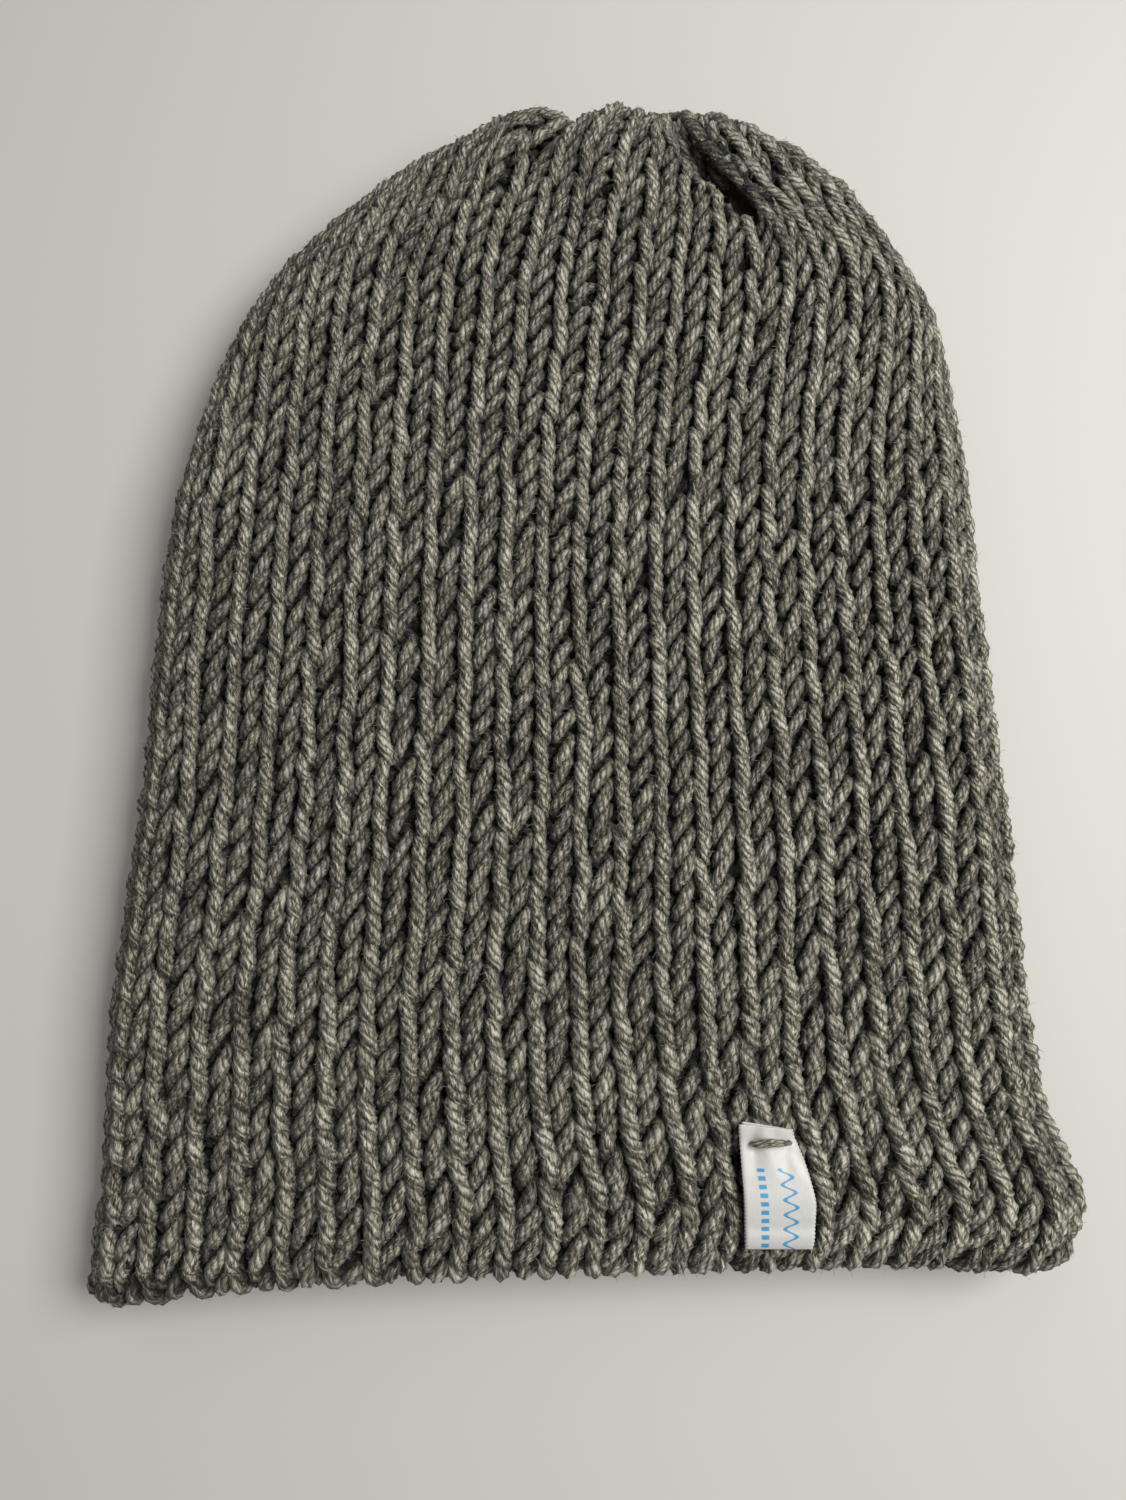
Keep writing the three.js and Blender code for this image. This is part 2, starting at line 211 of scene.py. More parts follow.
def section_point(around, ahead, inset):
    """A point of the cross-section at one distance ahead, as the part's source has it, in millimetres."""
    left, right = look_up(OUTLINE, 1, ahead), look_up(OUTLINE, 2, ahead)
    half_width = (left + right) / 2 - inset
    full_radius = THICKNESS / 2 - inset
    into_tip = np.clip((ahead - (CROWN_TIP - inset - full_radius)) / full_radius, 0, 1)
    radius = np.minimum(full_radius * np.sqrt(1 - into_tip**2), ROUNDEST * half_width)
    below = np.abs(around) > pi / 2
    even = np.where(below, pi - np.abs(around), np.abs(around)) / (pi / 2)
    crowded = CROWDING * ease_in(*CROWDING_SPAN, ahead)
    share = even + crowded * (np.sin(pi / 2 * even) - even)
    flat = half_width - radius
    length = share * (flat + pi / 2 * radius)
    bend = np.maximum(length - flat, 0) / np.maximum(radius, 1e-6)
    across = (right - left) / 2 + np.sign(around) * (np.minimum(length, flat) + radius * np.sin(bend))
    up = radius * np.cos(bend)
    height = THICKNESS / 2 + np.where(below, -up, up)
    for x, y, reach_x, reach_y, deep in DENTS:
        dent = deep * np.exp(-(((across - x) / reach_x) ** 2) - ((ahead - y) / reach_y) ** 2)
        height = height - dent * height / THICKNESS
    wave = look_up(RIM_WAVE, 1, across) * (1 - ease_in(0, RIM_WAVE_END, ahead))
    return np.stack([across, ahead + wave - MIDDLE_AHEAD, height], -1)


def smooth_point(around, along, inset):
    """A point of the smooth body: along is 0 at the rim, 1 at the dome's start, 2 at the drawn-up centre."""
    around = (around + pi) % (2 * pi) - pi
    tube_start = WALL / 2 - RIM_OVERHANG
    from_centre = pi / 2 * np.clip(2 - along, 0, 1)
    turned = CROWN_TURN * np.clip(along - 1, 0, 1)
    ahead = np.cos(from_centre) * np.cos(turned) + np.sin(from_centre) * np.cos(around) * np.sin(turned)
    up = np.sin(from_centre) * np.cos(around) * np.cos(turned) - np.cos(from_centre) * np.sin(turned)
    across = np.sin(from_centre) * np.sin(around)
    distance = np.where(
        along <= 1,
        tube_start + along * (DOME_START - tube_start),
        DOME_START + (CROWN_TIP - inset - DOME_START) * ahead,
    )
    return section_point(np.where(along <= 1, around, np.arctan2(across, up)), distance, inset)


def pleat(degrees, along):
    """Where the pleat moves a wale to, in degrees, and how deep it presses it, in millimetres."""
    strength = look_up(PLEAT_PATH, 3, along)
    crease = PLEAT_WALE + (look_up(PLEAT_PATH, 1, along) - PLEAT_WALE) * strength
    opened = look_up(PLEAT_PATH, 2, along)
    drawn_over = PLEAT_WALE - crease
    start, end = crease - PLEAT_LEFT, PLEAT_WALE + PLEAT_RIGHT
    beyond = degrees - drawn_over * (1 - ease_in(0, PLEAT_SPREAD, degrees - end))
    share = np.clip((degrees - start) / (end - start), 0, 1)
    tucked = start + (end - drawn_over - start) * share + opened * look_up(PLEAT_SHAPE, 1, share)
    moved = np.where(degrees < start, degrees, np.where(degrees < end, tucked, beyond))
    over = np.exp(-(((degrees - end) / LIP_REACH) ** 2))
    lip = np.where(degrees >= end, over, ease_in(LIP_START, 1, share))
    deep = opened * (PLEAT_DEPTH * look_up(PLEAT_SHAPE, 2, share) * (degrees < end) - LIP_LIFT * lip)
    return moved, deep


def face_way(point, around, along, inset, step, last_low):
    """Which way a surface of such points faces, from its points a step to each side."""
    low = np.clip(along - step, 0, last_low)
    high = np.clip(along + step, 2 * step, NEAR_TIP)
    out = np.cross(
        point(around + step, along, inset) - point(around - step, along, inset),
        point(around, high, inset) - point(around, low, inset),
    )
    return out / np.maximum(np.linalg.norm(out, axis=-1, keepdims=True), 1e-9)


def gathered_point(around, along, inset):
    """A point of the body with the pleat and the folds of its gathered crown."""
    degrees = (np.degrees(around) + 180) % 360 - 180
    moved, deep = pleat(degrees, along)
    for at, wide, depth, start, end in GATHERS:
        done = (along - start) / (end - start)
        rise = np.sin(pi * done) if end < 2 else np.sin(pi / 2 * np.minimum(done * 2, 1))
        inside = (done > 0) & (done < 1)
        deep = deep + np.where(inside, depth * rise * np.exp(-(((degrees - at) / wide) ** 2)), 0)
    turned = np.radians(moved)
    out = face_way(smooth_point, turned, along, inset, step=0.02, last_low=1.96)
    return smooth_point(turned, along, inset) - out * deep[..., None]


def body_point(around, along, inset, lie):
    """A point lie millimetres under the body's face, and the way that the face looks there."""
    along = np.clip(along, 0.0, NEAR_TIP - 0.001) + 0 * around
    out = face_way(gathered_point, around, along, inset, step=0.008, last_low=1.98)
    return gathered_point(around, along, inset) - out * lie, out


# Courses are counted from the rim fold to the drawn-up centre, and below zero round the fold and back inside.
WALES = 48
COURSES = 55
TUBE_COURSES = 17
TUBE_COURSES_END = 0.55  # how far along the body the courses are as deep as at the rim
FOLD_COURSES = 1.6
YARN_LIE = 2.75  # the middle of a layer's loops under its face
LIE_BY_THICKNESS = 0.6  # how much deeper thicker knit lies
TIGHTEST_FOLD = 0.1
FINE_STEPS = 500  # from the rim to the drawn-up centre
YARN_BY_COURSE = np.array([  # course, thickness of the knit: it is slack at the rim
    (-55, 0.8), (-12, 0.8), (-3, 0.86), (-1.5, 1.02), (-0.5, 1.12), (1, 1.2), (4, 1.24), (10, 1.12),
    (18, 1.02), (30, 1.0), (55, 1.0),
])


def along_of_courses(around, courses):
    """How far along the body each course lies on each wale: even steps of knit on every wale."""
    fine = np.linspace(0, 2, FINE_STEPS)
    line = smooth_point(around[None, :], fine[:, None], 0)
    steps = np.linalg.norm(np.diff(line, axis=0), axis=-1)
    reached = np.concatenate([np.zeros((1, around.size)), np.cumsum(steps, 0)])
    along = np.empty((courses.size, around.size))
    for j in range(around.size):
        tube_end = np.interp(TUBE_COURSES_END, fine, reached[:, j])
        lengths = np.interp(courses, [0, TUBE_COURSES, COURSES], [0, tube_end, reached[-1, j]])
        along[:, j] = np.interp(lengths, reached[:, j], fine)
    return along


def knit_layer(wales, courses, lie):
    """Points under a layer's face, and the way the face looks, for rows of courses and columns of wales."""
    thickness = look_up(YARN_BY_COURSE, 1, courses)[:, None, None]
    lie = lie * (1 + LIE_BY_THICKNESS * (thickness - 1))
    around = wales / WALES * 2 * pi
    places = np.empty((courses.size, wales.size, 3))
    faces = np.empty_like(places)
    outer = courses >= 0
    along = along_of_courses(around, courses[outer])
    places[outer], faces[outer] = body_point(around[None, :], along, 0, lie[outer])
    outer_edge = smooth_point(around[None, :], np.zeros((1, 1)), 0)
    inner_edge = smooth_point(around[None, :], np.zeros((1, 1)), WALL)
    half = (outer_edge - inner_edge) / 2
    radius = np.linalg.norm(half, axis=-1, keepdims=True)
    fold = (courses < 0) & (courses >= -FOLD_COURSES)
    turn = (-courses[fold] / FOLD_COURSES * pi)[:, None, None]
    look = half / radius * np.cos(turn) - np.array([0, 1.0, 0]) * np.sin(turn)
    places[fold] = outer_edge - half + look * np.maximum(radius - lie[fold], TIGHTEST_FOLD)
    faces[fold] = look
    inner = courses < -FOLD_COURSES
    deep_in = np.interp(-courses[inner] - FOLD_COURSES, [0, TUBE_COURSES, COURSES], [0, TUBE_COURSES_END, 2])
    places[inner], out = body_point(around[None, :], deep_in[:, None], WALL, -lie[inner])
    faces[inner] = -out
    return places, faces


def grid_mesh(name, places, closed=False):
    """A mesh of quads from rows and columns of points in millimetres: open, or a tube with closed ends."""
    rows, columns = places.shape[:2]
    index = np.arange(rows * columns).reshape(rows, columns)
    ends = []
    if closed:
        ends = [index[0, ::-1].tolist(), index[-1].tolist()]
        index = np.concatenate([index, index[:, :1]], 1)
    quads = np.stack([index[:-1, :-1], index[:-1, 1:], index[1:, 1:], index[1:, :-1]], -1).reshape(-1, 4)
    mesh = bpy.data.meshes.new(name)
    mesh.from_pydata((places.reshape(-1, 3) * MM).tolist(), [], quads.tolist() + ends)
    return mesh


def map_grid(mesh, name, rows, columns):
    """Gives a grid mesh a UV map that runs from 0 to 1 along its columns and its rows."""
    corner = np.array([loop.vertex_index for loop in mesh.loops])
    flat = np.stack([corner % columns / (columns - 1), corner // columns / (rows - 1)], -1)
    mesh.uv_layers.new(name=name).uv.foreach_set("vector", flat.reshape(-1).astype(np.float32))


INNER_COURSES = 9
FIRST_WALE, LAST_WALE = -14.5, 36.5
FIRST_COURSE, LAST_COURSE = -FOLD_COURSES - INNER_COURSES - 1.5, COURSES - 0.3
LINES_A_WALE, LINES_A_COURSE = 6, 3
FULL_PITCH = 6.4  # wales narrower than this leave the yarn less room
LEAST_ROOM = 0.3
wale_steps = round((LAST_WALE - FIRST_WALE) * LINES_A_WALE)
wale_lines = np.linspace(FIRST_WALE, LAST_WALE, wale_steps + 1)
course_steps = round((LAST_COURSE - FIRST_COURSE) * LINES_A_COURSE)
course_lines = np.linspace(FIRST_COURSE, LAST_COURSE, course_steps + 1)
layer_places, layer_faces = knit_layer(wale_lines, course_lines, YARN_LIE)
layer = grid_mesh("knit_layer", layer_places)
map_grid(layer, "knit_map", course_lines.size, wale_lines.size)
layer_face = layer.attributes.new("face_way", "FLOAT_VECTOR", "POINT")
layer_face.data.foreach_set("vector", layer_faces.reshape(-1).astype(np.float32))
wale_width = np.linalg.norm(np.gradient(layer_places, wale_lines, axis=1), axis=-1)
yarn_room = np.clip(wale_width / FULL_PITCH, LEAST_ROOM, 1)
yarn_room = yarn_room * look_up(YARN_BY_COURSE, 1, course_lines)[:, None]
layer_room = layer.attributes.new("yarn_room", "FLOAT", "POINT")
layer_room.data.foreach_set("value", yarn_room.reshape(-1).astype(np.float32))


def new_tree(name, numbers, first_socket="Geometry", last_socket="Geometry"):
    """An empty geometry tree, its named inputs and its last socket: (name, kind, value) for each number."""
    tree = bpy.data.node_groups.new(name, "GeometryNodeTree")
    tree.interface.new_socket(first_socket, in_out="INPUT", socket_type="NodeSocketGeometry")
    for label, kind, value in numbers:
        socket = tree.interface.new_socket(label, in_out="INPUT", socket_type="NodeSocket" + kind)
        if value is not None:
            socket.default_value = value
    tree.interface.new_socket(last_socket, in_out="OUTPUT", socket_type="NodeSocketGeometry")
    return tree, add_node(tree, "NodeGroupInput").outputs, add_node(tree, "NodeGroupOutput").inputs[0]


def capture(tree, geometry, domain, items):
    """Keeps fields on a geometry, (name, kind, field) for each. Gives the geometry and then the fields."""
    made = add_node(tree, "GeometryNodeCaptureAttribute", {"Geometry": geometry}, domain=domain)
    for name, kind, field in items:
        made.capture_items.new(kind, name)
        tree.links.new(field, made.inputs[len(made.capture_items)])
    return made.outputs


# Plied yarn as a tree: a curve becomes a rope of plies that turn as they run along it.
YARN_RADIUS = 1.62 * MM
PLY_TURN = 9.2 * MM
PLIES = 5
tree, given, end = new_tree("plied_yarn", (
    ("Radius", "Float", YARN_RADIUS),
    ("Plies", "Int", PLIES),
    ("Points A Ply", "Int", 2),
    ("Groove", "Float", 0.26),
    ("Ply Turn", "Float", PLY_TURN),
    ("First Turn", "Float", 0.0),
), "Curve", "Mesh")
yarn_tree = tree
points = add_node(tree, "ShaderNodeMath", {0: given["Plies"], 1: given["Points A Ply"]}, operation="MULTIPLY")
circle = add_node(tree, "GeometryNodeCurvePrimitiveCircle", {"Resolution": points.outputs[0], "Radius": 1.0})
index = add_node(tree, "GeometryNodeInputIndex")
ply = add_node(tree, "ShaderNodeMath", {0: index.outputs[0], 1: given["Points A Ply"]}, operation="DIVIDE")
ply_angle = add_node(tree, "ShaderNodeMath", {0: ply.outputs[0], 1: 2 * pi}, operation="MULTIPLY")
ply_wave = add_node(tree, "ShaderNodeMath", {0: ply_angle.outputs[0]}, operation="COSINE")
ply_low = add_node(tree, "ShaderNodeMath", {
    0: ply_wave.outputs[0],
    1: -0.5,
    2: 0.5,
}, operation="MULTIPLY_ADD")
ply_cut = add_node(tree, "ShaderNodeMath", {0: ply_low.outputs[0], 1: given["Groove"]}, operation="MULTIPLY")
ply_reach = add_node(tree, "ShaderNodeMath", {0: 1.0, 1: ply_cut.outputs[0]}, operation="SUBTRACT")
round_place = add_node(tree, "GeometryNodeInputPosition")
lobed = add_node(tree, "ShaderNodeVectorMath", {
    0: round_place.outputs[0],
    "Scale": ply_reach.outputs[0],
}, operation="SCALE")
round_kept = capture(tree, circle.outputs[0], "POINT", (("round", "VECTOR", round_place.outputs[0]),))
profile = add_node(tree, "GeometryNodeSetPosition", {"Geometry": round_kept[0], "Position": lobed.outputs[0]})
run = add_node(tree, "GeometryNodeSplineParameter")
turns = add_node(tree, "ShaderNodeMath", {0: run.outputs["Length"], 1: given["Ply Turn"]}, operation="DIVIDE")
turned = add_node(tree, "ShaderNodeMath", {0: turns.outputs[0], 1: given["First Turn"]}, operation="ADD")
twist = add_node(tree, "ShaderNodeMath", {0: turned.outputs[0], 1: -2 * pi}, operation="MULTIPLY")
curve_kept = capture(tree, given["Curve"], "POINT", (
    ("length", "FLOAT", run.outputs["Length"]),
    ("twist", "FLOAT", twist.outputs[0]),
))
twisted = add_node(tree, "GeometryNodeSetCurveTilt", {"Curve": curve_kept[0], "Tilt": curve_kept[2]})
rope = add_node(tree, "GeometryNodeCurveToMesh", {
    "Curve": twisted.outputs[0],
    "Profile Curve": profile.outputs[0],
    "Scale": given["Radius"],
    "Fill Caps": True,
})
unturned = add_node(tree, "ShaderNodeVectorRotate", {
    "Vector": round_kept[1],
    "Angle": curve_kept[2],
}, rotation_type="Z_AXIS")
last = rope.outputs[0]
for name, around in (("ply_place", round_kept[1]), ("yarn_place", unturned.outputs[0])):
    split = add_node(tree, "ShaderNodeSeparateXYZ", {0: around})
    place = add_node(tree, "ShaderNodeCombineXYZ", {
        "X": split.outputs["X"],
        "Y": split.outputs["Y"],
        "Z": curve_kept[1],
    })
    stored = add_node(tree, "GeometryNodeStoreNamedAttribute", {
        "Geometry": last,
        "Name": name,
        "Value": place.outputs[0],
    }, data_type="FLOAT_VECTOR", domain="POINT")
    last = stored.outputs[0]
smooth = add_node(tree, "GeometryNodeSetShadeSmooth", {"Geometry": last})
tree.links.new(smooth.outputs[0], end)

# Courses of loops as a tree. Each course is one yarn that runs in loops over the layer's map, its legs to the
# front and its heads and feet behind, so that the legs stand as columns. The loops lean to the right, so that
# their left legs stand upright in a rope, and their right legs lie as separate slanted grains. No two loops
# are quite alike: noise moves them along the course, across it and out of the layer, and thins or fattens
# the yarn.
STRAIGHT_LEGS = -1 / 9  # with this share of its third harmonic a sine runs straight between its turns
UNEVEN_SPREAD = (1.3, 2.7, 1.0)
UNEVEN_ALONG, UNEVEN_ACROSS, UNEVEN_OUT = 2.0, 3.0, 2.5 * MM
THINNEST, THICKEST = 0.88, 1.12
FLAT_FOLD = (-0.3, 1.2)  # courses over which the left legs come forward, as on the fold they hardly do
FORWARD_ON_FOLD = 0.1
tree, given, end = new_tree("knitted_courses", (
    ("First Wale", "Int", 0),
    ("Wales", "Int", WALES),
    ("First Course", "Float", 0.0),
    ("Courses", "Int", 1),
    ("Points A Stitch", "Int", 18),
    ("Loop Overhang", "Float", 0.215),
    ("Loop Lean", "Float", 0.13),
    ("Loop Half Height", "Float", 0.9),
    ("Loop Depth", "Float", 1.25 * MM),
    ("Left Leg Forward", "Float", 0.25 * MM),
    ("Left Leg Plump", "Float", 0.05),
    ("Points To Legs", "Float", 0.16),
    ("Points A Ply", "Int", 2),
    ("Unevenness", "Float", 0.3),
    ("Seed", "Float", 3.0),
    ("Yarn", "Material", None),
))
knit_tree = tree
count = add_node(tree, "ShaderNodeMath", {
    0: given["Wales"],
    1: given["Points A Stitch"],
    2: 1.0,
}, operation="MULTIPLY_ADD")
line = add_node(tree, "GeometryNodeCurvePrimitiveLine", {"End": (1.0, 0.0, 0.0)})
even_line = add_node(tree, "GeometryNodeResampleCurve", {"Curve": line.outputs[0], "Count": count.outputs[0]})
copies = add_node(tree, "GeometryNodeDuplicateElements", {
    "Geometry": even_line.outputs[0],
    "Amount": given["Courses"],
}, domain="SPLINE")
course_kept = capture(tree, copies.outputs[0], "CURVE", (
    ("course", "INT", copies.outputs["Duplicate Index"]),
))
factor = add_node(tree, "GeometryNodeSplineParameter")
line_kept = capture(tree, course_kept[0], "POINT", (("factor", "FLOAT", factor.outputs["Factor"]),))
stitch = add_node(tree, "ShaderNodeMath", {
    0: line_kept[1],
    1: given["Wales"],
    2: given["First Wale"],
}, operation="MULTIPLY_ADD")
course = add_node(tree, "ShaderNodeMath", {0: course_kept[1], 1: given["First Course"]}, operation="ADD")
even_turn = add_node(tree, "ShaderNodeMath", {0: stitch.outputs[0], 1: 2 * pi}, operation="MULTIPLY")
double_turn = add_node(tree, "ShaderNodeMath", {0: even_turn.outputs[0], 1: 2.0}, operation="MULTIPLY")
to_legs = add_node(tree, "ShaderNodeMath", {0: double_turn.outputs[0]}, operation="SINE")
turn = add_node(tree, "ShaderNodeMath", {
    0: to_legs.outputs[0],
    1: given["Points To Legs"],
    2: even_turn.outputs[0],
}, operation="MULTIPLY_ADD")
twice = add_node(tree, "ShaderNodeMath", {0: turn.outputs[0], 1: 2.0}, operation="MULTIPLY")
round_swing = add_node(tree, "ShaderNodeMath", {0: twice.outputs[0]}, operation="SINE")
six_times = add_node(tree, "ShaderNodeMath", {0: turn.outputs[0], 1: 6.0}, operation="MULTIPLY")
straightening = add_node(tree, "ShaderNodeMath", {0: six_times.outputs[0]}, operation="SINE")
swing = add_node(tree, "ShaderNodeMath", {
    0: straightening.outputs[0],
    1: STRAIGHT_LEGS,
    2: round_swing.outputs[0],
}, operation="MULTIPLY_ADD")
back = add_node(tree, "ShaderNodeMath", {0: twice.outputs[0]}, operation="COSINE")
rise = add_node(tree, "ShaderNodeMath", {0: turn.outputs[0]}, operation="COSINE")
even_wale = add_node(tree, "ShaderNodeMath", {0: turn.outputs[0], 1: 2 * pi}, operation="DIVIDE")
loop_wale = add_node(tree, "ShaderNodeMath", {
    0: swing.outputs[0],
    1: given["Loop Overhang"],
    2: even_wale.outputs[0],
}, operation="MULTIPLY_ADD")
leaning = add_node(tree, "ShaderNodeMath", {0: rise.outputs[0], 1: given["Loop Lean"]}, operation="MULTIPLY")
leant_wale = add_node(tree, "ShaderNodeMath", {
    0: loop_wale.outputs[0],
    1: leaning.outputs[0],
}, operation="SUBTRACT")
drop = add_node(tree, "ShaderNodeMath", {
    0: rise.outputs[0],
    1: given["Loop Half Height"],
}, operation="MULTIPLY")
loop_course = add_node(tree, "ShaderNodeMath", {
    0: course.outputs[0],
    1: drop.outputs[0],
}, operation="SUBTRACT")
own_place = add_node(tree, "ShaderNodeCombineXYZ", {
    "X": stitch.outputs[0],
    "Y": course.outputs[0],
    "Z": given["Seed"],
})
spread_place = add_node(tree, "ShaderNodeVectorMath", {
    0: own_place.outputs[0],
    1: UNEVEN_SPREAD,
}, operation="MULTIPLY")
noise = add_node(tree, "ShaderNodeTexNoise", {"Vector": spread_place.outputs[0], "Scale": 1.0, "Detail": 2.0})
even_noise = add_node(tree, "ShaderNodeVectorMath", {
    0: noise.outputs["Color"],
    1: (0.5, 0.5, 0.5),
}, operation="SUBTRACT")
chance = add_node(tree, "ShaderNodeVectorMath", {
    0: even_noise.outputs[0],
    "Scale": given["Unevenness"],
}, operation="SCALE")
chances = add_node(tree, "ShaderNodeSeparateXYZ", {0: chance.outputs[0]})
final_wale = add_node(tree, "ShaderNodeMath", {
    0: chances.outputs["X"],
    1: UNEVEN_ALONG,
    2: leant_wale.outputs[0],
}, operation="MULTIPLY_ADD")
final_course = add_node(tree, "ShaderNodeMath", {
    0: chances.outputs["Y"],
    1: UNEVEN_ACROSS,
    2: loop_course.outputs[0],
}, operation="MULTIPLY_ADD")
map_x = add_node(tree, "ShaderNodeMapRange", {
    "Value": final_wale.outputs[0],
    "From Min": FIRST_WALE,
    "From Max": LAST_WALE,
})
map_y = add_node(tree, "ShaderNodeMapRange", {
    "Value": final_course.outputs[0],
    "From Min": FIRST_COURSE,
    "From Max": LAST_COURSE,
})
map_place = add_node(tree, "ShaderNodeCombineXYZ", {"X": map_x.outputs[0], "Y": map_y.outputs[0]})
knit_map = add_node(tree, "GeometryNodeInputNamedAttribute", {"Name": "knit_map"}, data_type="FLOAT_VECTOR")
position = add_node(tree, "GeometryNodeInputPosition")
way_here = add_node(tree, "GeometryNodeInputNamedAttribute", {"Name": "face_way"}, data_type="FLOAT_VECTOR")
room_here = add_node(tree, "GeometryNodeInputNamedAttribute", {"Name": "yarn_room"}, data_type="FLOAT")
sampled = []
for kind, field in (("FLOAT_VECTOR", position), ("FLOAT_VECTOR", way_here), ("FLOAT", room_here)):
    sample = add_node(tree, "GeometryNodeSampleUVSurface", {
        "Mesh": given["Geometry"],
        "Value": field.outputs[0],
        "UV Map": knit_map.outputs["Attribute"],
        "Sample UV": map_place.outputs[0],
    }, data_type=kind)
    sampled.append(sample.outputs[0])
layer_place, layer_way, layer_thick = sampled
loop_back = add_node(tree, "ShaderNodeMath", {
    0: back.outputs[0],
    1: given["Loop Depth"],
}, operation="MULTIPLY")
stands = add_node(tree, "ShaderNodeMath", {0: chances.outputs["Z"], 1: UNEVEN_OUT}, operation="MULTIPLY")
leg_side = add_node(tree, "ShaderNodeMath", {0: turn.outputs[0]}, operation="SINE")
off_fold = add_node(tree, "ShaderNodeMapRange", {
    "Value": final_course.outputs[0],
    "From Min": FLAT_FOLD[0],
    "From Max": FLAT_FOLD[1],
    "To Min": FORWARD_ON_FOLD,
})
leg_forward = add_node(tree, "ShaderNodeMath", {
    0: off_fold.outputs[0],
    1: given["Left Leg Forward"],
}, operation="MULTIPLY")
left_forward = add_node(tree, "ShaderNodeMath", {
    0: leg_side.outputs[0],
    1: leg_forward.outputs[0],
    2: stands.outputs[0],
}, operation="MULTIPLY_ADD")
front = add_node(tree, "ShaderNodeMath", {
    0: left_forward.outputs[0],
    1: loop_back.outputs[0],
}, operation="SUBTRACT")
roomy_front = add_node(tree, "ShaderNodeMath", {0: front.outputs[0], 1: layer_thick}, operation="MULTIPLY")
out = add_node(tree, "ShaderNodeVectorMath", {
    0: layer_way,
    "Scale": roomy_front.outputs[0],
}, operation="SCALE")
free_place = add_node(tree, "ShaderNodeVectorMath", {0: layer_place, 1: out.outputs[0]}, operation="ADD")
on_table = add_node(tree, "ShaderNodeMath", {0: layer_thick, 1: YARN_RADIUS}, operation="MULTIPLY")
lowest = add_node(tree, "ShaderNodeCombineXYZ", {"X": -1.0, "Y": -1.0, "Z": on_table.outputs[0]})
loop_place = add_node(tree, "ShaderNodeVectorMath", {
    0: free_place.outputs[0],
    1: lowest.outputs[0],
}, operation="MAXIMUM")
loop_kept = capture(tree, line_kept[0], "POINT", (
    ("stitch", "VECTOR", own_place.outputs[0]),
    ("layer", "VECTOR", layer_place),
    ("face", "VECTOR", layer_way),
    ("thick", "FLOAT", layer_thick),
    ("uneven", "FLOAT", noise.outputs["Fac"]),
    ("loop", "VECTOR", loop_place.outputs[0]),
))
loops = add_node(tree, "GeometryNodeSetPosition", {"Geometry": loop_kept[0], "Position": loop_kept[6]})
thick_noise = add_node(tree, "ShaderNodeMapRange", {
    "Value": loop_kept[5],
    "From Min": 0.3,
    "From Max": 0.7,
    "To Min": THINNEST,
    "To Max": THICKEST,
})
plump = add_node(tree, "ShaderNodeMath", {
    0: leg_side.outputs[0],
    1: given["Left Leg Plump"],
    2: thick_noise.outputs[0],
}, operation="MULTIPLY_ADD")
thickness = add_node(tree, "ShaderNodeMath", {0: loop_kept[4], 1: plump.outputs[0]}, operation="MULTIPLY")
radius = add_node(tree, "ShaderNodeMath", {0: thickness.outputs[0], 1: YARN_RADIUS}, operation="MULTIPLY")
first_turn = add_node(tree, "FunctionNodeRandomValue", {"ID": course_kept[1], "Seed": 7})
plied = add_node(tree, "GeometryNodeGroup", node_tree=yarn_tree)
for label, source in (
    ("Curve", loops.outputs[0]),
    ("Radius", radius.outputs[0]),
    ("Points A Ply", given["Points A Ply"]),
    ("First Turn", first_turn.outputs[1]),
):
    tree.links.new(source, plied.inputs[label])
off_layer = add_node(tree, "ShaderNodeVectorMath", {
    0: position.outputs[0],
    1: loop_kept[2],
}, operation="SUBTRACT")
stands_out = add_node(tree, "ShaderNodeVectorMath", {
    0: off_layer.outputs[0],
    1: loop_kept[3],
}, operation="DOT_PRODUCT")
# How far the yarn stands out of its layer, against its room there; the yarn's material paints shade from it
# between the loops.
even_out = add_node(tree, "ShaderNodeMath", {
    0: stands_out.outputs["Value"],
    1: loop_kept[4],
}, operation="DIVIDE")
with_stitch = add_node(tree, "GeometryNodeStoreNamedAttribute", {
    "Geometry": plied.outputs[0],
    "Name": "stitch_place",
    "Value": loop_kept[1],
}, data_type="FLOAT_VECTOR", domain="POINT")
with_depth = add_node(tree, "GeometryNodeStoreNamedAttribute", {
    "Geometry": with_stitch.outputs[0],
    "Name": "stands_out",
    "Value": even_out.outputs[0],
}, data_type="FLOAT", domain="POINT")
real = add_node(tree, "GeometryNodeRealizeInstances", {"Geometry": with_depth.outputs[0]})
dyed = add_node(tree, "GeometryNodeSetMaterial", {"Geometry": real.outputs[0], "Material": given["Yarn"]})
tree.links.new(dyed.outputs[0], end)

# Grey melange acrylic and wool yarn, spun and plied: matt and hairy. Its light and dark fibres never quite
# mix, so it is flecked along the yarn. The grooves between plies and the gaps between loops, where little
# light reaches, get painted shade. Its fibres are drawn as bundles ten times as thick as real ones, as those
# would be too fine to show.
FIBRE_MM, FIBRE_LONG_MM = 0.27, 1.0
PATCH_MM, PATCH_LONG_MM = 1.3, 2.4
PLY_WANDER = 5.0
# The painted shade between the loops is deepest at GAP_DARK out of the layer and gone at GAP_LIGHT.
GAP_DARK, GAP_LIGHT = 0.3 * MM, 2.4 * MM  # out of the layer, where the yarn is darkest and fully lit
YARN_UNIT = YARN_RADIUS / MM  # the yarn's round coordinates are in radii
yarn_paint, tree, surface = new_material("grey_melange_plied_yarn")
ply_place = add_node(tree, "ShaderNodeAttribute", attribute_name="ply_place")
yarn_place = add_node(tree, "ShaderNodeAttribute", attribute_name="yarn_place")
stitch_place = add_node(tree, "ShaderNodeAttribute", attribute_name="stitch_place")
depth = add_node(tree, "ShaderNodeAttribute", attribute_name="stands_out")
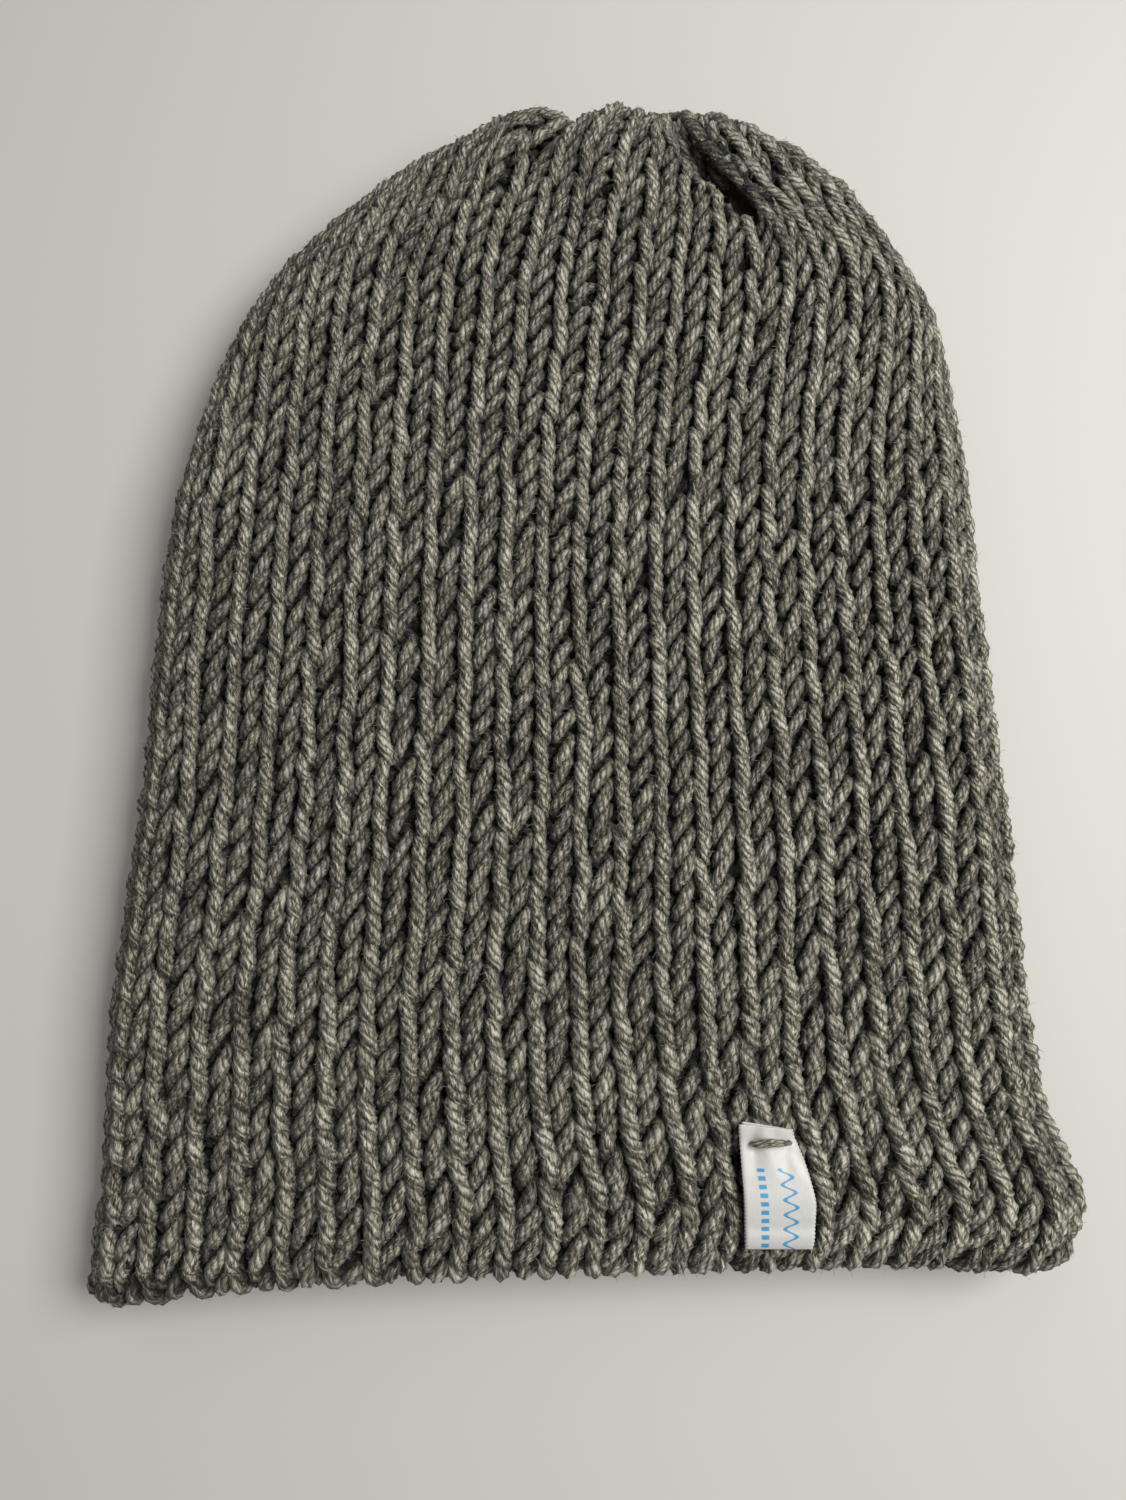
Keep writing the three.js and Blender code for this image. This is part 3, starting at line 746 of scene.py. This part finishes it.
fibre_map = add_node(tree, "ShaderNodeMapping", {
    "Vector": yarn_place.outputs["Vector"],
    "Scale": (YARN_UNIT / FIBRE_MM, YARN_UNIT / FIBRE_MM, 1 / (FIBRE_LONG_MM * MM)),
})
fibres = add_node(tree, "ShaderNodeTexNoise", {
    "Vector": fibre_map.outputs[0],
    "Scale": 1.0,
    "Detail": 2.0,
    "Roughness": 0.6,
    "Distortion": 0.5,
})
patch_map = add_node(tree, "ShaderNodeMapping", {
    "Vector": yarn_place.outputs["Vector"],
    "Scale": (YARN_UNIT / PATCH_MM, YARN_UNIT / PATCH_MM, 1 / (PATCH_LONG_MM * MM)),
})
patches = add_node(tree, "ShaderNodeTexNoise", {"Vector": patch_map.outputs[0], "Scale": 1.0, "Detail": 1.0})
tone = add_node(tree, "ShaderNodeTexNoise", {
    "Vector": stitch_place.outputs["Vector"],
    "Scale": 0.7,
    "Detail": 2.0,
})
fibre_and_patch = add_node(tree, "ShaderNodeMix", {
    "Factor": 0.35,
    "A": fibres.outputs["Fac"],
    "B": patches.outputs["Fac"],
})
melange = add_node(tree, "ShaderNodeMix", {
    "Factor": 0.2,
    "A": fibre_and_patch.outputs[0],
    "B": tone.outputs["Fac"],
})
colours = add_node(tree, "ShaderNodeValToRGB", {"Fac": melange.outputs[0]})
colours.color_ramp.elements[0].position = 0.42
colours.color_ramp.elements[0].color = linear("#453f36")
colours.color_ramp.elements[1].position = 0.58
colours.color_ramp.elements[1].color = linear("#d2cdb8")
colours.color_ramp.elements.new(0.5).color = linear("#8e8978")
ply_split = add_node(tree, "ShaderNodeSeparateXYZ", {0: ply_place.outputs["Vector"]})
ply_angle = add_node(tree, "ShaderNodeMath", {
    0: ply_split.outputs["Y"],
    1: ply_split.outputs["X"],
}, operation="ARCTAN2")
ply_turns = add_node(tree, "ShaderNodeMath", {0: ply_angle.outputs[0], 1: PLIES}, operation="MULTIPLY")
ply_phase = add_node(tree, "ShaderNodeMath", {
    0: patches.outputs["Fac"],
    1: PLY_WANDER,
    2: ply_turns.outputs[0],
}, operation="MULTIPLY_ADD")
ply_ridge = add_node(tree, "ShaderNodeMath", {0: ply_phase.outputs[0]}, operation="COSINE")
# Painted shade: the grooves between the plies are darkened in the yarn's colour.
groove_shade = add_node(tree, "ShaderNodeMapRange", {
    "Value": ply_ridge.outputs[0],
    "From Min": -1.0,
    "From Max": 0.3,
    "To Min": 0.3,
}, interpolation_type="SMOOTHSTEP")
# Painted shade: yarn that lies deep in the layer, between the loops, is darkened in its colour almost to
# black.
gap_shade = add_node(tree, "ShaderNodeMapRange", {
    "Value": depth.outputs["Fac"],
    "From Min": GAP_DARK,
    "From Max": GAP_LIGHT,
    "To Min": 0.04,
})
shade = add_node(tree, "ShaderNodeMath", {
    0: groove_shade.outputs[0],
    1: gap_shade.outputs[0],
}, operation="MULTIPLY")
# A colour Mix has its factor at 0 and its two colours at 6 and 7, and gives the mixed colour at 2.
shaded = add_node(tree, "ShaderNodeMix", {
    0: 1.0,
    6: colours.outputs[0],
    7: shade.outputs[0],
}, data_type="RGBA", blend_type="MULTIPLY")
height = add_node(tree, "ShaderNodeMath", {
    0: fibres.outputs["Fac"],
    1: 1.2,
    2: ply_ridge.outputs[0],
}, operation="MULTIPLY_ADD")
bump = add_node(tree, "ShaderNodeBump", {"Strength": 0.8, "Distance": 0.2 * MM, "Height": height.outputs[0]})
shader = add_node(tree, "ShaderNodeBsdfPrincipled", {
    "Base Color": shaded.outputs[2],
    "Roughness": 0.85,
    "Specular IOR Level": 0.25,
    "Sheen Weight": 0.12,
    "Sheen Roughness": 0.5,
    "Normal": bump.outputs[0],
})
tree.links.new(shader.outputs[0], surface)


def run_tree(name, base, tree, values):
    """Runs a geometry tree on some mesh with these inputs, and shows the result as a plain mesh."""
    maker = show(name + "_maker", base)
    modifier = maker.modifiers.new("tree", "NODES")
    modifier.node_group = tree
    for item in tree.interface.items_tree:
        if item.item_type == "SOCKET" and item.in_out == "INPUT" and item.name in values:
            modifier[item.identifier] = values[item.name]
    result = bpy.data.meshes.new_from_object(maker.evaluated_get(bpy.context.evaluated_depsgraph_get()))
    bpy.data.objects.remove(maker)
    result.name = name
    return show(name, result)


# Stray fibres as a tree: loose ends of the same spinning, which give the knit its soft halo. Each is a tiny
# bent strip that stands on the yarn where it is furthest out of the layer.
FIBRE_WIDE, FIBRE_LONGEST = 0.08 * MM, 2.8 * MM
FIBRE_BEND, FIBRE_LEAN = 1.3, 0.5
ARC_RADIUS = 0.6
ROOTS_OUT = 1.8 * MM
STRAY_TONE_MM = 1.111
tree, given, end = new_tree("stray_fibres", (
    ("Density", "Float", 720000.0),
    ("Longest", "Float", FIBRE_LONGEST),
    ("Seed", "Int", 5),
    ("Fibre", "Material", None),
))
fibre_tree = tree
arc = add_node(tree, "GeometryNodeCurveArc", {
    "Resolution": 3,
    "Radius": ARC_RADIUS,
    "Start Angle": 0.0,
    "Sweep Angle": FIBRE_BEND,
}, mode="RADIUS")
strip_side = add_node(tree, "GeometryNodeCurvePrimitiveLine", {"Start": (-0.5, 0, 0), "End": (0.5, 0, 0)})
strip = add_node(tree, "GeometryNodeCurveToMesh", {
    "Curve": arc.outputs[0],
    "Profile Curve": strip_side.outputs[0],
    "Scale": FIBRE_WIDE / FIBRE_LONGEST,
})
standing = add_node(tree, "GeometryNodeTransform", {
    "Geometry": strip.outputs[0],
    "Translation": (-ARC_RADIUS, 0, 0),
})
depth = add_node(tree, "GeometryNodeInputNamedAttribute", {"Name": "stands_out"}, data_type="FLOAT")
outermost = add_node(tree, "FunctionNodeCompare", {
    0: depth.outputs[0],
    1: ROOTS_OUT,
}, operation="GREATER_THAN")
roots = add_node(tree, "GeometryNodeDistributePointsOnFaces", {
    "Mesh": given["Geometry"],
    "Selection": outermost.outputs[0],
    "Density": given["Density"],
    "Seed": given["Seed"],
})
spin = add_node(tree, "FunctionNodeRandomValue", {
    0: (-FIBRE_LEAN, -FIBRE_LEAN, 0.0),
    1: (FIBRE_LEAN, FIBRE_LEAN, 2 * pi),
}, data_type="FLOAT_VECTOR")
spun = add_node(tree, "FunctionNodeRotateRotation", {
    "Rotation": roots.outputs["Rotation"],
    "Rotate By": spin.outputs[0],
}, rotation_space="LOCAL")
long = add_node(tree, "FunctionNodeRandomValue", {2: 0.35, 3: 1.0, "Seed": 3})
reach = add_node(tree, "ShaderNodeMath", {0: long.outputs[1], 1: given["Longest"]}, operation="MULTIPLY")
planted = add_node(tree, "GeometryNodeInstanceOnPoints", {
    "Points": roots.outputs["Points"],
    "Instance": standing.outputs[0],
    "Rotation": spun.outputs[0],
    "Scale": reach.outputs[0],
})
real = add_node(tree, "GeometryNodeRealizeInstances", {"Geometry": planted.outputs[0]})
dyed = add_node(tree, "GeometryNodeSetMaterial", {"Geometry": real.outputs[0], "Material": given["Fibre"]})
tree.links.new(dyed.outputs[0], end)
fibre_paint, tree, surface = new_material("grey_melange_stray_fibre")
fibre_where = add_node(tree, "ShaderNodeTexCoord")
fibre_tone = add_node(tree, "ShaderNodeTexNoise", {
    "Vector": fibre_where.outputs["Object"],
    "Scale": 1 / (STRAY_TONE_MM * MM),
    "Detail": 1.0,
})
fibre_colour = add_node(tree, "ShaderNodeMix", {
    0: fibre_tone.outputs["Fac"],
    6: linear("#4a463d"),
    7: linear("#a9a595"),
}, data_type="RGBA")
fibre_shader = add_node(tree, "ShaderNodeBsdfPrincipled", {
    "Base Color": fibre_colour.outputs[2],
    "Roughness": 0.7,
    "Specular IOR Level": 0.2,
})
tree.links.new(fibre_shader.outputs[0], surface)


# The knit is made in panels, so that no piece is too large for its file. Those that show in the photograph
# have more points than the rest. A course's yarn runs half a course above the course's lower edge.
SIDE_WALE = 13
PANELS = (  # name, first wale, wales, first course, courses, points a stitch, points a ply
    ("knit_rim_upper", -SIDE_WALE, 2 * SIDE_WALE, -1, 14, 24, 2),
    ("knit_lower_body_upper", -SIDE_WALE, 2 * SIDE_WALE, 13, 14, 20, 2),
    ("knit_higher_body_upper", -SIDE_WALE, 2 * SIDE_WALE, 27, 14, 20, 2),
    ("knit_crown_upper", -SIDE_WALE, 2 * SIDE_WALE, 41, 13, 20, 2),
    ("knit_underside", SIDE_WALE, WALES - 2 * SIDE_WALE, -1, 55, 11, 1),
    ("knit_inside_of_mouth", -SIDE_WALE, WALES, -INNER_COURSES, INNER_COURSES - 1, 12, 1),
)
for name, first_wale, wales, first_course, courses, points, ply_points in PANELS:
    panel = run_tree(name, layer, knit_tree, {
        "First Wale": first_wale,
        "Wales": wales,
        "First Course": first_course + 0.5,
        "Courses": courses,
        "Points A Stitch": points,
        "Points A Ply": ply_points,
        "Yarn": yarn_paint,
    })
    pieces = [panel]
    if name.endswith("upper"):
        pieces.append(run_tree(name + "_fibres", panel.data.copy(), fibre_tree, {"Fibre": fibre_paint}))
    for piece in pieces:
        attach(piece, "root")
        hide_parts("knit_shell")


# The inner layer, painted almost black as shade, seen through the gaps of the outer one and as knit deep in
# the hollow.
# It is the same tube turned in at the rim, here a closed skin between the outer loops and the hollow. The
# hollow ends short of the tip, where the drawn-up knit fills it.
SKIN_LIE = 3.9
HOLLOW_SKIN_LIE = 1.4
HOLLOW_COURSES = 37
skin_wales = np.arange(0, WALES, 0.5)
outer_courses = np.concatenate([np.linspace(-0.8, 0, 3), np.linspace(1, COURSES - 1, COURSES)])
hollow_courses = -np.linspace(FOLD_COURSES + 0.3, HOLLOW_COURSES, HOLLOW_COURSES)
outer_skin = knit_layer(skin_wales, outer_courses, SKIN_LIE)[0]
hollow_skin = knit_layer(skin_wales, hollow_courses, HOLLOW_SKIN_LIE)[0]
skin = grid_mesh("knit_inner_layer", np.concatenate([hollow_skin[::-1], outer_skin]), closed=True)

# The same melange yarn, matt, coloured almost black as painted shade: next to no light gets in between the
# layers.
SHADE_PATCH_MM = 1.429
skin_paint, tree, surface = new_material("grey_melange_knit_painted_shade")
skin_place = add_node(tree, "ShaderNodeTexCoord")
skin_noise = add_node(tree, "ShaderNodeTexNoise", {
    "Vector": skin_place.outputs["Object"],
    "Scale": 1 / (SHADE_PATCH_MM * MM),
    "Detail": 3.0,
})
# Painted shade: the inner layer's colour is near black.
skin_shade_colour = add_node(tree, "ShaderNodeMix", {
    0: skin_noise.outputs["Fac"],
    6: linear("#1a1814"),
    7: linear("#45413a"),
}, data_type="RGBA")
skin_bump = add_node(tree, "ShaderNodeBump", {"Distance": 0.5 * MM, "Height": skin_noise.outputs["Fac"]})
skin_shader = add_node(tree, "ShaderNodeBsdfPrincipled", {
    "Base Color": skin_shade_colour.outputs[2],
    "Roughness": 1.0,
    "Specular IOR Level": 0.1,
    "Normal": skin_bump.outputs[0],
})
tree.links.new(skin_shader.outputs[0], surface)
skin.materials.append(skin_paint)
skin_piece = show("knit_inner_layer", skin)
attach(skin_piece, "root")
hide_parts("knit_shell")


# The label. A white polyester satin ribbon with picot selvedges, woven 14 mm wide, cut 50 mm long and folded
# across. Both cut ends are caught by one stitch, which draws the ribbon in and dents it. Its print is only a
# row of dashes and a wavy line, in place of words.
RIBBON_WIDTH = 14.0
RIBBON_LENGTH = 50.0
RIBBON_THICK = 0.25
RIBBON_REACH = 24.0
RIBBON_SLANT = 1.5  # how much further ahead the left corner of the cut end lies
RIBBON_EDGES = np.array([  # ahead of the fold, left edge, right edge, height over the knit
    (0, 0.5, 13.8, 0.7), (1, 0.5, 13.9, 1.35), (2.5, 0.5, 14.1, 1.75), (4.3, 0.45, 14.2, 1.7),
    (6.5, 0.4, 14.3, 2.15), (9.5, 0.3, 14.4, 2.35), (13, 0.1, 13.7, 2.05), (16.5, -0.1, 12.8, 1.8),
    (20.7, -0.4, 11.5, 1.6), (22.5, -0.6, 10.8, 1.9), (24.4, -0.7, 10.4, 2.3),
])
PRINT_LINES = (  # middle from the left edge, pitch, sideways swing, half width, least wave that is inked
    (3.9, 1.7, 0.0, 0.8, -0.1),
    (9.2, 3.0, 1.2, 0.45, -2.0),
)
PRINT_SPAN = (25.0, 41.5)  # along the ribbon from its under end, so all on the upper half
PICOT_PITCH = 0.8
PICOT_REACH = 0.22
ROWS_A_PICOT = 4
RIBBON_COLUMNS = 25
UNDER_LEFT, UNDER_NARROWER = 0.5, 0.3  # the under half's left edge, and how much narrower it is at the right
UNDER_LIFT, FOLD_DIP, FOLD_DIP_REACH = 0.6, 0.45, 1.2
DRAWN_IN_SPAN = (12, 22)  # ahead of the fold, where the stitch begins to draw the ribbon in and where it has
DROOP, DROOP_FROM = 5.5, 0.45  # of the right side, from this share of the width
CURL, CURL_SHARE, CURL_SPAN = 0.9, 0.22, (19, 24)  # of the left corner
RIPPLE, RIPPLE_TURNS, RIPPLE_START = 0.22, 2.6, 0.6
SLANT_SPAN = (16, 24)
FOLD_START, LEAST_LIFT = 0.1, 0.1  # inside the CAD's ribbon, and over its underside
STITCH_AHEAD = 20.7
STITCH_ENDS = (2.1, 9.3)
STITCH_DENTS = ((0, 1.2, 1.5, 0.7), (3.5, 1.6, 3.2, 0.3))  # behind the stitch, wide, long, deep
ribbon_low = np.array(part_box("label_ribbon")[0]) / MM
ribbon_rows = round(RIBBON_LENGTH / PICOT_PITCH) * ROWS_A_PICOT
run_along = np.linspace(0, 1, ribbon_rows + 1)[:, None]
across = np.linspace(0, 1, RIBBON_COLUMNS)[None, :]
under = run_along < 0.5
ahead = np.abs(run_along - 0.5) * 2 * RIBBON_REACH
left_edge = np.where(under, UNDER_LEFT, look_up(RIBBON_EDGES, 1, ahead))
right_edge = look_up(RIBBON_EDGES, 2, ahead) - UNDER_NARROWER * under
tooth = PICOT_REACH * np.abs(np.sin(pi * run_along * RIBBON_LENGTH / PICOT_PITCH))
x = left_edge + (right_edge - left_edge) * across
x = x + np.where(across == 0, -tooth, 0) + np.where(across == 1, tooth, 0)
drawn_in = ease_in(*DRAWN_IN_SPAN, ahead) * ~under
under_lift = UNDER_LIFT - FOLD_DIP * ease_in(0, FOLD_DIP_REACH, ahead)
lift = np.where(under, under_lift, look_up(RIBBON_EDGES, 3, ahead)) + 0 * x
lift = lift - drawn_in * DROOP * np.clip(across - DROOP_FROM, 0, 1) ** 2
lift = lift + CURL * drawn_in * np.exp(-((across / CURL_SHARE) ** 2)) * ease_in(*CURL_SPAN, ahead)
lift = lift + RIPPLE * drawn_in * np.sin(across * RIPPLE_TURNS * 2 * pi + RIPPLE_START)
for stitch_end in STITCH_ENDS:
    for behind, wide, long, deep in STITCH_DENTS:
        dent = np.exp(-(((x - stitch_end) / wide) ** 2) - ((ahead - STITCH_AHEAD + behind) / long) ** 2)
        lift = lift - ~under * deep * dent
slant = RIBBON_SLANT * (0.5 - across) * ease_in(*SLANT_SPAN, ahead)
ribbon_places = np.stack([
    ribbon_low[0] + x,
    ribbon_low[1] + FOLD_START + ahead + slant,
    ribbon_low[2] + np.where(under, lift, np.maximum(lift, LEAST_LIFT)),
], -1)
ribbon = grid_mesh("label_satin_ribbon", ribbon_places)
map_grid(ribbon, "ribbon_map", ribbon_rows + 1, across.size)

# White polyester satin, woven: a soft sheen over fine threads along the ribbon, drawn as bundles, as single
# threads would be too fine to show. The print is thin blue ink with slightly soft edges.
THREAD_WIDE_MM, THREAD_LONG_MM = 0.2, 1.6
INK_EDGE_MM = 0.08
DASH_EDGE = 0.1
ribbon_paint, tree, surface = new_material("white_polyester_satin")
ribbon_place = add_node(tree, "ShaderNodeUVMap", uv_map="ribbon_map")
thread_map = add_node(tree, "ShaderNodeMapping", {
    "Vector": ribbon_place.outputs[0],
    "Scale": (RIBBON_WIDTH / THREAD_WIDE_MM, RIBBON_LENGTH / THREAD_LONG_MM, 1),
})
threads = add_node(tree, "ShaderNodeTexNoise", {"Vector": thread_map.outputs[0], "Scale": 1.0, "Detail": 3.0})
satin = add_node(tree, "ShaderNodeMix", {
    0: threads.outputs["Fac"],
    6: linear("#bcbab4"),
    7: linear("#d8d6cf"),
}, data_type="RGBA")
ribbon_split = add_node(tree, "ShaderNodeSeparateXYZ", {0: ribbon_place.outputs[0]})
inks = []
for middle, pitch, swing_mm, half_mm, gap in PRINT_LINES:
    run_turn = add_node(tree, "ShaderNodeMath", {
        0: ribbon_split.outputs["Y"],
        1: 2 * pi * RIBBON_LENGTH / pitch,
    }, operation="MULTIPLY")
    run_wave = add_node(tree, "ShaderNodeMath", {0: run_turn.outputs[0]}, operation="SINE")
    wave_middle = add_node(tree, "ShaderNodeMath", {
        0: run_wave.outputs[0],
        1: swing_mm / RIBBON_WIDTH,
        2: middle / RIBBON_WIDTH,
    }, operation="MULTIPLY_ADD")
    off_line = add_node(tree, "ShaderNodeMath", {
        0: ribbon_split.outputs["X"],
        1: wave_middle.outputs[0],
    }, operation="SUBTRACT")
    from_line = add_node(tree, "ShaderNodeMath", {0: off_line.outputs[0]}, operation="ABSOLUTE")
    on_line = add_node(tree, "ShaderNodeMapRange", {
        "Value": from_line.outputs[0],
        "From Min": (half_mm - INK_EDGE_MM) / RIBBON_WIDTH,
        "From Max": (half_mm + INK_EDGE_MM) / RIBBON_WIDTH,
        "To Min": 1.0,
        "To Max": 0.0,
    })
    dashes = add_node(tree, "ShaderNodeMapRange", {
        "Value": run_wave.outputs[0],
        "From Min": gap - DASH_EDGE,
        "From Max": gap + DASH_EDGE,
    })
    inked = add_node(tree, "ShaderNodeMath", {
        0: on_line.outputs[0],
        1: dashes.outputs[0],
    }, operation="MULTIPLY")
    inks.append(inked.outputs[0])
ink = add_node(tree, "ShaderNodeMath", {0: inks[0], 1: inks[1]}, operation="MAXIMUM")
in_print = add_node(tree, "ShaderNodeMath", {
    0: ribbon_split.outputs["Y"],
    1: sum(PRINT_SPAN) / 2 / RIBBON_LENGTH,
    2: (PRINT_SPAN[1] - PRINT_SPAN[0]) / 2 / RIBBON_LENGTH,
}, operation="COMPARE")
ink_here = add_node(tree, "ShaderNodeMath", {0: ink.outputs[0], 1: in_print.outputs[0]}, operation="MULTIPLY")
printed = add_node(tree, "ShaderNodeMix", {
    0: ink_here.outputs[0],
    6: satin.outputs[2],
    7: linear("#4593be"),
}, data_type="RGBA")
satin_bump = add_node(tree, "ShaderNodeBump", {
    "Strength": 0.25,
    "Distance": 0.1 * MM,
    "Height": threads.outputs["Fac"],
})
satin_shader = add_node(tree, "ShaderNodeBsdfPrincipled", {
    "Base Color": printed.outputs[2],
    "Roughness": 0.4,
    "Specular IOR Level": 0.5,
    "Sheen Weight": 0.2,
    "Normal": satin_bump.outputs[0],
})
tree.links.new(satin_shader.outputs[0], surface)
ribbon.materials.append(ribbon_paint)
ribbon.polygons.foreach_set("use_smooth", [True] * len(ribbon.polygons))
ribbon_piece = show("label_satin_ribbon", ribbon)
thicken = ribbon_piece.modifiers.new("cloth_thickness", "SOLIDIFY")
thicken.thickness = RIBBON_THICK * MM
thicken.offset = 0
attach(ribbon_piece, "root")
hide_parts("label_ribbon")


# The stitch that holds the label: one short bar of the hat's own yarn, thinner where it is pulled tight, with
# its two legs through both layers of the ribbon and into the knit.
STITCH_ROUTE = (  # across from the left leg, ahead of the bar, under the bar's top, radius
    (0.6, -0.1, 4.6, 0.4),
    (-0.1, -0.2, 2.8, 0.45),
    (0.5, -0.1, 1.4, 0.65),
    (2.0, 0.15, 0.85, 0.9),
    (3.8, 0.3, 0.8, 0.85),
    (5.6, 0.25, 1.0, 0.7),
    (7.2, 0.1, 1.5, 0.45),
    (7.7, 0.0, 2.8, 0.35),
    (7.2, 0.1, 4.6, 0.35),
)
STITCH_START = 0.9  # the left leg from the left end of the CAD's stitch
STITCH_GROOVE, STITCH_PLY_TURN = 0.15, 11 * MM
stitch_low, stitch_high = np.array(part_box("label_stitch")) / MM
stitch_start = (stitch_low[0] + STITCH_START, (stitch_low[1] + stitch_high[1]) / 2, stitch_high[2])
stitch_points = [
    ((stitch_start[0] + px) * MM, (stitch_start[1] + py) * MM, (stitch_start[2] - pz) * MM)
    for px, py, pz, _ in STITCH_ROUTE
]
stitch_line = bpy.data.meshes.new("label_stitch_route")
stitch_line.from_pydata(stitch_points, [(i, i + 1) for i in range(len(stitch_points) - 1)], [])
stitch_thick = stitch_line.attributes.new("thick", "FLOAT", "POINT")
stitch_thick.data.foreach_set("value", [radius_mm * MM for *_, radius_mm in STITCH_ROUTE])
tree, given, end = new_tree("stitch_from_route", (("Points", "Int", 36), ("Yarn", "Material", None)))
route = add_node(tree, "GeometryNodeMeshToCurve", {"Mesh": given["Geometry"]})
bent = add_node(tree, "GeometryNodeCurveSplineType", {"Curve": route.outputs[0]}, spline_type="CATMULL_ROM")
even = add_node(tree, "GeometryNodeResampleCurve", {"Curve": bent.outputs[0], "Count": given["Points"]})
thick = add_node(tree, "GeometryNodeInputNamedAttribute", {"Name": "thick"}, data_type="FLOAT")
plied = add_node(tree, "GeometryNodeGroup", node_tree=yarn_tree)
for label, value in (("Points A Ply", 3), ("Groove", STITCH_GROOVE), ("Ply Turn", STITCH_PLY_TURN)):
    plied.inputs[label].default_value = value
for label, source in (("Curve", even.outputs[0]), ("Radius", thick.outputs["Attribute"])):
    tree.links.new(source, plied.inputs[label])
# The stitch counts as standing fully out of the layer, so the yarn's painted shade between loops leaves it
# unshaded.
without_painted_shade = add_node(tree, "GeometryNodeStoreNamedAttribute", {
    "Geometry": plied.outputs[0],
    "Name": "stands_out",
    "Value": GAP_LIGHT,
}, data_type="FLOAT", domain="POINT")
real = add_node(tree, "GeometryNodeRealizeInstances", {"Geometry": without_painted_shade.outputs[0]})
dyed = add_node(tree, "GeometryNodeSetMaterial", {"Geometry": real.outputs[0], "Material": given["Yarn"]})
tree.links.new(dyed.outputs[0], end)
stitch_piece = run_tree("label_yarn_stitch", stitch_line, tree, {"Yarn": yarn_paint})
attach(stitch_piece, "root")
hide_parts("label_stitch")
